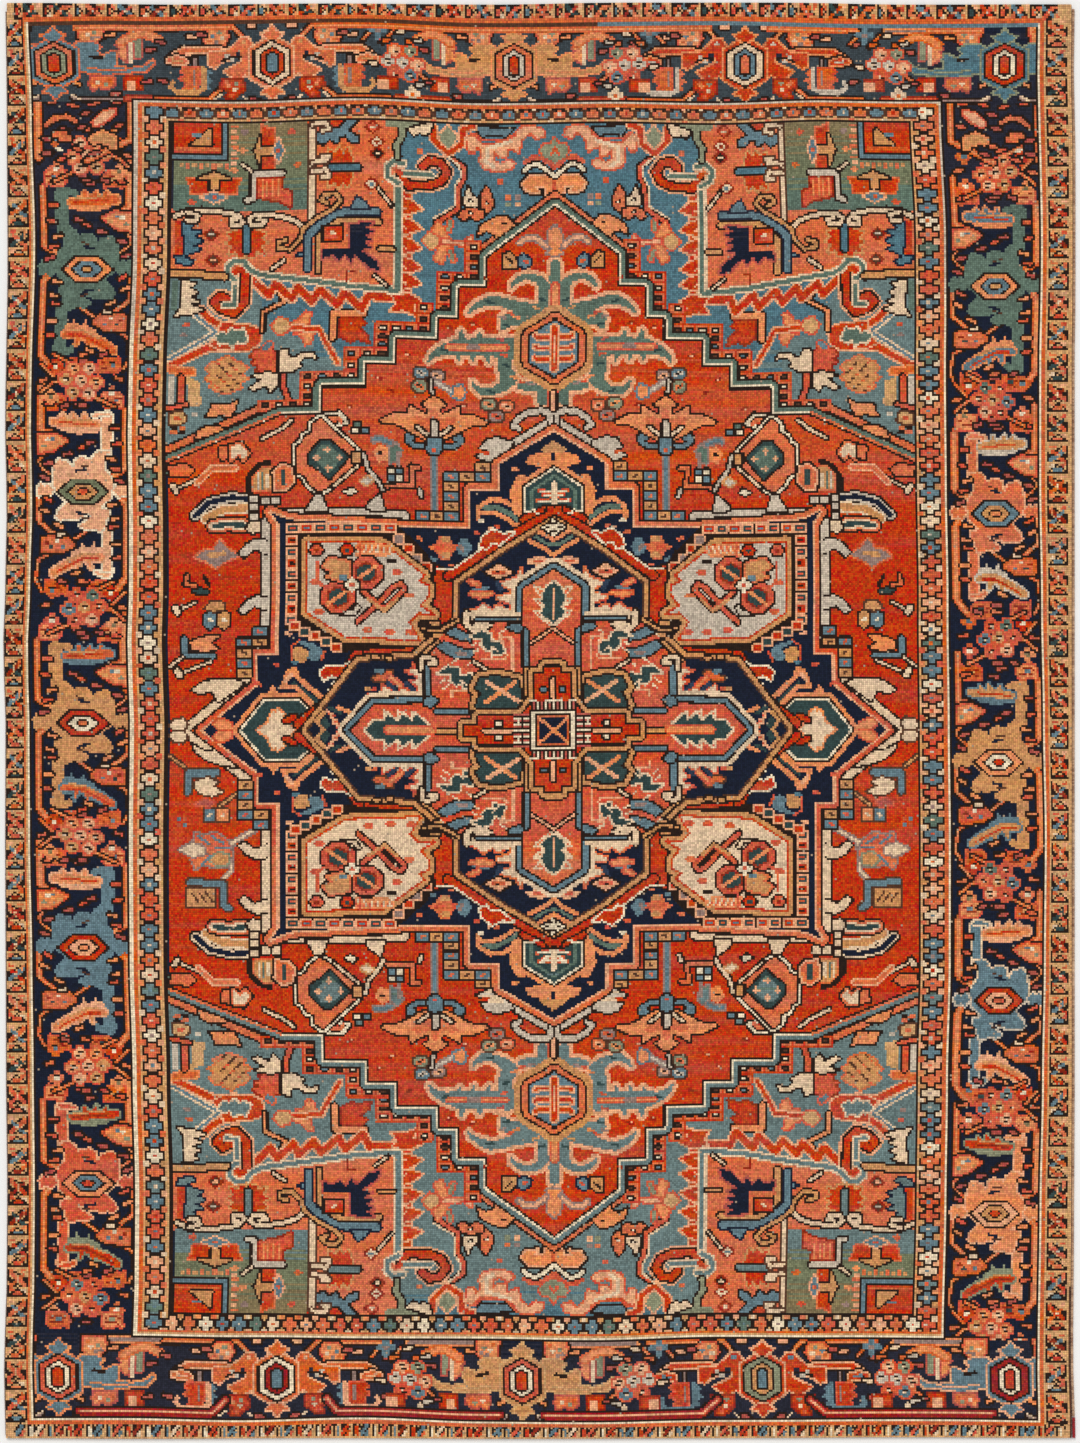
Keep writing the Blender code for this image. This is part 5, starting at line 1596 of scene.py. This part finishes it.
@dataclass
class Pile:
    """The knotted sheet: one cloth of cotton foundation and wool pile."""

    ATTRIBUTE = "wools"
    KNOT_MAP = "knots"
    BLOCK = 4  # knots along each side of a face
    BASE = 32  # wools that a digit can tell apart

    node: str = "knotted_sheet"
    slot: str = "pile_wool"
    rim_rounding: float = 0.0015
    thickness: float = 0.009
    corner: float = 0.03  # metres: the worn corners lie within this of the rim's ends
    finish: PileWool = field(default_factory=PileWool)

    def rim(self) -> np.ndarray:
        """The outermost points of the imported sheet, where its side wall is upright."""
        low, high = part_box(self.node)
        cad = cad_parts[self.node]
        points = np.array([cad.matrix_world @ v.co for v in cad.data.vertices])
        middle = (low[2] + high[2]) / 2
        return points[abs(points[:, 2] - middle) < (high[2] - low[2]) / 2 - self.rim_rounding * 0.9]

    def spread(self, share: np.ndarray) -> np.ndarray:
        """Where knots lie on the floor, so that the sheet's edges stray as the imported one's do.

        Args:
            share: how far across and along the sheet each one is, from 0 to 1.

        Returns:
            Their places, in metres.
        """
        low, high = (np.array(corner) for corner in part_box(self.node))
        rim = self.rim()
        x = low[0] + (high[0] - low[0]) * share[:, 0]
        y = low[1] + (high[1] - low[1]) * share[:, 1]

        def edge(axis: int, start: bool, where: np.ndarray) -> np.ndarray:
            """How far the rim lies along an axis, at places along the other."""
            end = low[axis] if start else high[axis]
            side = rim[(abs(rim[:, axis] - end) < self.corner)]
            other = 1 - axis
            along = side[:, other]
            side = side[(along > low[other] + self.corner) & (along < high[other] - self.corner)]
            side = side[np.argsort(side[:, other])]
            return np.interp(where, side[:, other], side[:, axis])

        left, right = edge(0, True, y), edge(0, False, y)
        bottom, top = edge(1, True, x), edge(1, False, x)
        across, along = share[:, 0] * KNOTS_WIDE, share[:, 1] * KNOTS_HIGH
        across, along = (across + self.stray(STRAY_ACROSS, across, along, KNOTS_WIDE),
                         along + self.stray(STRAY_ALONG, along, across, KNOTS_HIGH))
        x = left + (right - left) * across / KNOTS_WIDE
        y = bottom + (top - bottom) * along / KNOTS_HIGH
        return np.stack([x, y], 1)

    def stray(self, lines: dict[int, str], places: np.ndarray, stations: np.ndarray, end: int) -> np.ndarray:
        """How far knots stray from the cartoon, between lines whose own bends are known.

        Args:
            lines: the bends of each line, by its place.
            places: where the knots lie, on the axis that they stray along.
            stations: where they lie on the other axis.
            end: the far edge, which stays where it is, as the near one does.

        Returns:
            The shifts, in knots.
        """
        step = np.minimum((stations // STRAY_STEP).astype(int), len(min(lines.values()).split()) - 2)
        ease = stations / STRAY_STEP - step
        ease = ease * ease * (3 - 2 * ease)
        bends = [np.zeros(len(places))]
        for text in lines.values():
            bend = np.array([float(part) for part in text.split()])
            bends.append(bend[step] * (1 - ease) + bend[step + 1] * ease)
        bends = np.array(bends + [np.zeros(len(places))])
        known = np.array([0, *lines, end], float)
        before = np.clip(np.searchsorted(known, places, side="right") - 1, 0, len(known) - 2)
        part = (places - known[before]) / (known[before + 1] - known[before])
        row = np.arange(len(places))
        return bends[before, row] * (1 - part) + bends[before + 1, row] * part

    def knot(self, mesh: bpy.types.Mesh, design: np.ndarray) -> None:
        """Give each face the wools of its block of knots.

        Args:
            mesh: the sheet.
            design: the cartoon.
        """
        corners = np.empty(len(mesh.loops) * 2)
        mesh.uv_layers[self.KNOT_MAP].data.foreach_get("uv", corners)
        starts = np.empty(len(mesh.polygons), int)
        mesh.polygons.foreach_get("loop_start", starts)
        first = corners.reshape(-1, 2)[starts[:, None] + np.arange(4)].mean(1)
        column = (first[:, 0] * KNOTS_WIDE / self.BLOCK).astype(int)
        row = (first[:, 1] * KNOTS_HIGH / self.BLOCK).astype(int)
        blocks = design.reshape(KNOTS_HIGH // self.BLOCK, self.BLOCK, KNOTS_WIDE // self.BLOCK, self.BLOCK)
        # By row of blocks, row, column of blocks.
        packed = (blocks * self.BASE ** np.arange(self.BLOCK)).sum(3)
        wools = mesh.attributes.new(self.ATTRIBUTE, "FLOAT_COLOR", "FACE")
        wools.data.foreach_set("color", packed[row, :, column].astype(float).ravel())

    def map_bake(self, mesh: bpy.types.Mesh) -> None:
        """Lay out a map for a baked picture: the pile large, its back small beside it, then the rim."""
        uv = np.empty(len(mesh.loops) * 2)
        mesh.uv_layers[self.KNOT_MAP].data.foreach_get("uv", uv)
        uv = uv.reshape(-1, 2)
        vertex = np.empty(len(mesh.loops), int)
        mesh.loops.foreach_get("vertex_index", vertex)
        height = np.array([v.co.z for v in mesh.vertices])[vertex] / self.thickness
        normal = np.array([p.normal for p in mesh.polygons])
        total = np.array([p.loop_total for p in mesh.polygons])
        normal = np.repeat(normal, total, 0)
        placed = uv * (0.8, 1.0)
        beside, back_size = 0.81, (0.17, 0.23)
        back = normal[:, 2] < -0.7
        placed[back] = uv[back] * back_size + (beside, 0.0)
        ends = abs(normal[:, 1]) > 0.5
        rows = 0.24 + 0.01 * (normal[:, 1] > 0) + 0.006 * height
        placed[ends] = np.stack([beside + uv[:, 0] * back_size[0], rows], 1)[ends]
        sides = abs(normal[:, 0]) > 0.5
        placed[sides] = np.stack([0.985 + 0.008 * (normal[:, 0] > 0) + 0.005 * height, uv[:, 1]], 1)[sides]
        layer = mesh.uv_layers.new(name="OFBake")
        layer.data.foreach_set("uv", placed.ravel())

    def build(self, design: np.ndarray) -> bpy.types.Object:
        """Knot the sheet.

        Args:
            design: the cartoon.

        Returns:
            The finished piece.
        """
        low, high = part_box(self.node)
        deselect()
        bpy.ops.mesh.primitive_grid_add(x_subdivisions=KNOTS_WIDE // self.BLOCK,
                                        y_subdivisions=KNOTS_HIGH // self.BLOCK, size=1.0)
        piece = bpy.context.object
        piece.name = piece.data.name = "knotted_pile"
        mesh = piece.data
        mesh.uv_layers[0].name = self.KNOT_MAP
        share = np.array([v.co for v in mesh.vertices])[:, :2] + 0.5
        places = np.column_stack([self.spread(share), np.full(len(share), high[2])])
        mesh.vertices.foreach_set("co", places.ravel())
        self.knot(mesh, design)
        mesh.materials.append(self.finish.material("knotted_wool_pile", back=False))
        mesh.materials.append(self.finish.material("knotted_wool_back", back=True))
        solid = piece.modifiers.new("thickness", "SOLIDIFY")
        solid.thickness = high[2] - low[2]
        solid.offset = -1.0
        solid.material_offset = 1
        rounding = piece.modifiers.new("rim", "BEVEL")
        rounding.width = self.rim_rounding
        rounding.segments = 2
        rounding.limit_method = "ANGLE"
        apply_modifiers(piece)
        self.map_bake(mesh)
        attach(piece, "root")
        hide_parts(self.node)
        LOG.info("%s: %d faces", piece.name, len(mesh.polygons))
        return piece


@dataclass(frozen=True)
class OvercastWool:
    """Wool yarn of two plies, wrapped tight: matt, fuzzy, with a slight change from turn to turn."""

    name: str
    colour: str
    shade: str
    pitch: float
    roughness: float = 0.9
    turn_change: float = 0.55  # how much one turn's shade may differ, beside the patches' change of 1
    fuzz: float = 0.0002  # metres: the fibres' relief

    def material(self) -> bpy.types.Material:
        """Make the yarn's material."""
        material = bpy.data.materials.new(self.name)
        material.use_nodes = True
        tree = material.node_tree
        shader = tree.nodes["Principled BSDF"]
        shader.inputs["Roughness"].default_value = self.roughness
        shader.inputs["Specular IOR Level"].default_value = 0.2
        shader.inputs["Sheen Weight"].default_value = 0.3
        place = add(tree, "TexCoord", {}).outputs["Object"]
        turn = vector(tree, "FLOOR", vector(tree, "MULTIPLY", place, (0, 1 / self.pitch, 0)))
        each = add(tree, "TexWhiteNoise", {0: turn}, noise_dimensions="3D")
        patches = add(tree, "TexNoise", {0: place, "Scale": 9.0, "Detail": 3.0})
        both = maths(tree, "MULTIPLY_ADD", each.outputs["Value"], self.turn_change, patches.outputs[0])
        share = add(tree, "MapRange", {0: both, 1: 0.35, 2: 1.15, 3: 0.0, 4: 1.0})
        dyes = {0: share.outputs[0], 6: linear(self.colour), 7: linear(self.shade)}
        mixed = add(tree, "Mix", dyes, data_type="RGBA")
        fibres = add(tree, "TexNoise", {0: place, "Scale": 1800.0, "Detail": 2.0})
        bump = add(tree, "Bump", {"Height": fibres.outputs[0], "Distance": self.fuzz, "Strength": 0.6})
        tree.links.new(mixed.outputs[2], shader.inputs["Base Color"])
        tree.links.new(bump.outputs[0], shader.inputs["Normal"])
        return material


@dataclass
class Overcasting:
    """Yarn wrapped turn by turn round the outermost warps of a side."""

    node: str
    slot: str
    finish: OvercastWool
    slant: float = 14.0  # degrees: each turn leans forward along the edge
    fullness: float = 0.56  # the yarn's radius, as a share of the pitch
    turn_steps: int = 12
    yarn_steps: int = 6

    def route(self) -> list[tuple[float, float]]:
        """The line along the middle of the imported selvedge."""
        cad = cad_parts[self.node]
        points = np.array([cad.matrix_world @ v.co for v in cad.data.vertices])
        stations: dict[float, list[float]] = {}
        for x, y, _ in points:
            stations.setdefault(round(y, 2), []).append(x)
        low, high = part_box(self.node)
        middle = [(y, (min(xs) + max(xs)) / 2) for y, xs in sorted(stations.items())]
        middle[0] = (low[1], middle[0][1])
        middle[-1] = (high[1], middle[-1][1])
        return [(x, y) for y, x in middle]

    def build(self) -> bpy.types.Object:
        """Wrap the edge."""
        low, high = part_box(self.node)
        route = self.route()
        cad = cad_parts[self.node]
        points = np.array([cad.matrix_world @ v.co for v in cad.data.vertices])
        end = points[abs(points[:, 1] - low[1]) < 0.002]
        width, height = np.ptp(end[:, 0]), high[2] - low[2]
        yarn = self.finish.pitch * self.fullness
        thick = 0.3  # of the start ring
        deselect()
        bpy.ops.mesh.primitive_torus_add(major_segments=self.turn_steps, minor_segments=self.yarn_steps,
                                         major_radius=1.0, minor_radius=thick, rotation=(0, math.pi / 2, 0))
        piece = bpy.context.object
        piece.name = piece.data.name = "overcast_" + self.node
        bpy.ops.object.transform_apply(location=True, rotation=True, scale=True)
        mesh = piece.data
        co = np.array([v.co for v in mesh.vertices])
        ring = np.hypot(co[:, 1], co[:, 2])
        out, along = (ring - 1.0) / thick * yarn, co[:, 0] / thick * yarn
        angle = np.arctan2(co[:, 2], co[:, 1])
        across = (width / 2 - yarn + out) * np.cos(angle)
        up = (height / 2 - yarn + out) * np.sin(angle) + height / 2
        lean = across * math.tan(math.radians(self.slant)) * np.sign(up - height / 2)
        mesh.vertices.foreach_set("co", np.column_stack([along + lean + yarn, across, up]).ravel())
        length = high[1] - low[1] - 2 * yarn
        array = piece.modifiers.new("turns", "ARRAY")
        array.count = int(length / self.finish.pitch) + 1
        array.use_relative_offset = False
        array.use_constant_offset = True
        array.constant_offset_displace = (self.finish.pitch, 0, 0)
        curve = bpy.data.curves.new("edge_line", "CURVE")
        curve.dimensions = "3D"
        curve.twist_mode = "Z_UP"
        spline = curve.splines.new("POLY")
        spline.points.add(len(route) - 1)
        for point, (x, y) in zip(spline.points, route):
            point.co = (x, y, 0, 1)
        line = bpy.data.objects.new("edge_line", curve)
        bpy.context.scene.collection.objects.link(line)
        bend = piece.modifiers.new("edge", "CURVE")
        bend.object = line
        apply_modifiers(piece)
        bpy.data.objects.remove(line)
        mesh = piece.data
        mesh.materials.append(self.finish.material())
        mesh.shade_smooth()
        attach(piece, "root")
        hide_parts(self.node)
        LOG.info("%s: %d faces", piece.name, len(mesh.polygons))
        return piece


@dataclass
class Studio:
    """A plain pale floor, plain soft light, and a camera straight above, as the photograph was taken."""

    frame_high: int = 1443  # pixels of the photograph
    frame_wide: int = 1080
    rug_high: float = 1436.5  # pixels that the rug takes up
    rug_middle: tuple[float, float] = (539.25, 720.75)
    lens: float = 90.0

    def floor(self) -> None:
        """Lay the floor."""
        deselect()
        bpy.ops.mesh.primitive_plane_add(size=30.0, location=(0, 0, -0.0002))
        floor = bpy.context.object
        floor.name = "studio_floor"
        material = bpy.data.materials.new("studio_paint")
        material.use_nodes = True
        shader = material.node_tree.nodes["Principled BSDF"]
        shader.inputs["Base Color"].default_value = linear("#f4f3f0")
        shader.inputs["Roughness"].default_value = 0.8
        floor.data.materials.append(material)
        floor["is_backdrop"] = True

    def light(self) -> None:
        """Light it softly."""
        world = bpy.data.worlds.new("studio_light")
        bpy.context.scene.world = world
        world.use_nodes = True
        world.node_tree.nodes["Background"].inputs["Color"].default_value = (1, 1, 1, 1)
        world.node_tree.nodes["Background"].inputs["Strength"].default_value = 0.72
        sun = bpy.data.lights.new("window", "SUN")
        sun.energy = 1.15
        sun.angle = math.radians(25)
        lamp = bpy.data.objects.new("window", sun)
        lamp.rotation_euler = (math.radians(-38), math.radians(-14), 0)
        bpy.context.scene.collection.objects.link(lamp)
        bpy.context.scene.view_settings.view_transform = "Standard"

    def camera(self) -> None:
        """Hang the camera straight above the rug."""
        low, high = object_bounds()
        scale = (high[1] - low[1]) / self.rug_high  # metres in a pixel
        data = bpy.data.cameras.new("camera")
        data.sensor_fit = "VERTICAL"
        data.sensor_height = 36.0
        data.lens = self.lens
        data.clip_end = 200.0
        camera = bpy.data.objects.new("camera", data)
        distance = self.frame_high * scale * self.lens / data.sensor_height
        x = (low[0] + high[0]) / 2 + (self.frame_wide / 2 - self.rug_middle[0]) * scale
        y = (low[1] + high[1]) / 2 + (self.rug_middle[1] - self.frame_high / 2) * scale
        camera.location = (x, y, high[2] + distance)
        bpy.context.scene.collection.objects.link(camera)
        bpy.context.scene.camera = camera

    def build(self) -> None:
        """Set it all up."""
        self.floor()
        self.light()
        self.camera()


LEFT_YARN = OvercastWool("grey_brown_overcast_wool", "#bba394", "#7d685c", 0.0029)
RIGHT_YARN = OvercastWool("beige_overcast_wool", "#d6b08c", "#8a6048", 0.0037)
MEND_YARN = OvercastWool("deep_red_mending_wool", "#b01a1c", "#7c1216", 0.0031)


def main() -> None:
    """Build the rug and its studio."""
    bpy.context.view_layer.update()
    Studio().build()
    Pile().build(weave_design())
    Overcasting("selvedge_left", "left_overcast_wool", LEFT_YARN).build()
    Overcasting("selvedge_right", "right_overcast_wool", RIGHT_YARN).build()
    Overcasting("selvedge_mend", "mend_wool", MEND_YARN).build()


if __name__ == "__main__":
    logging.basicConfig(level=logging.INFO)
    main()
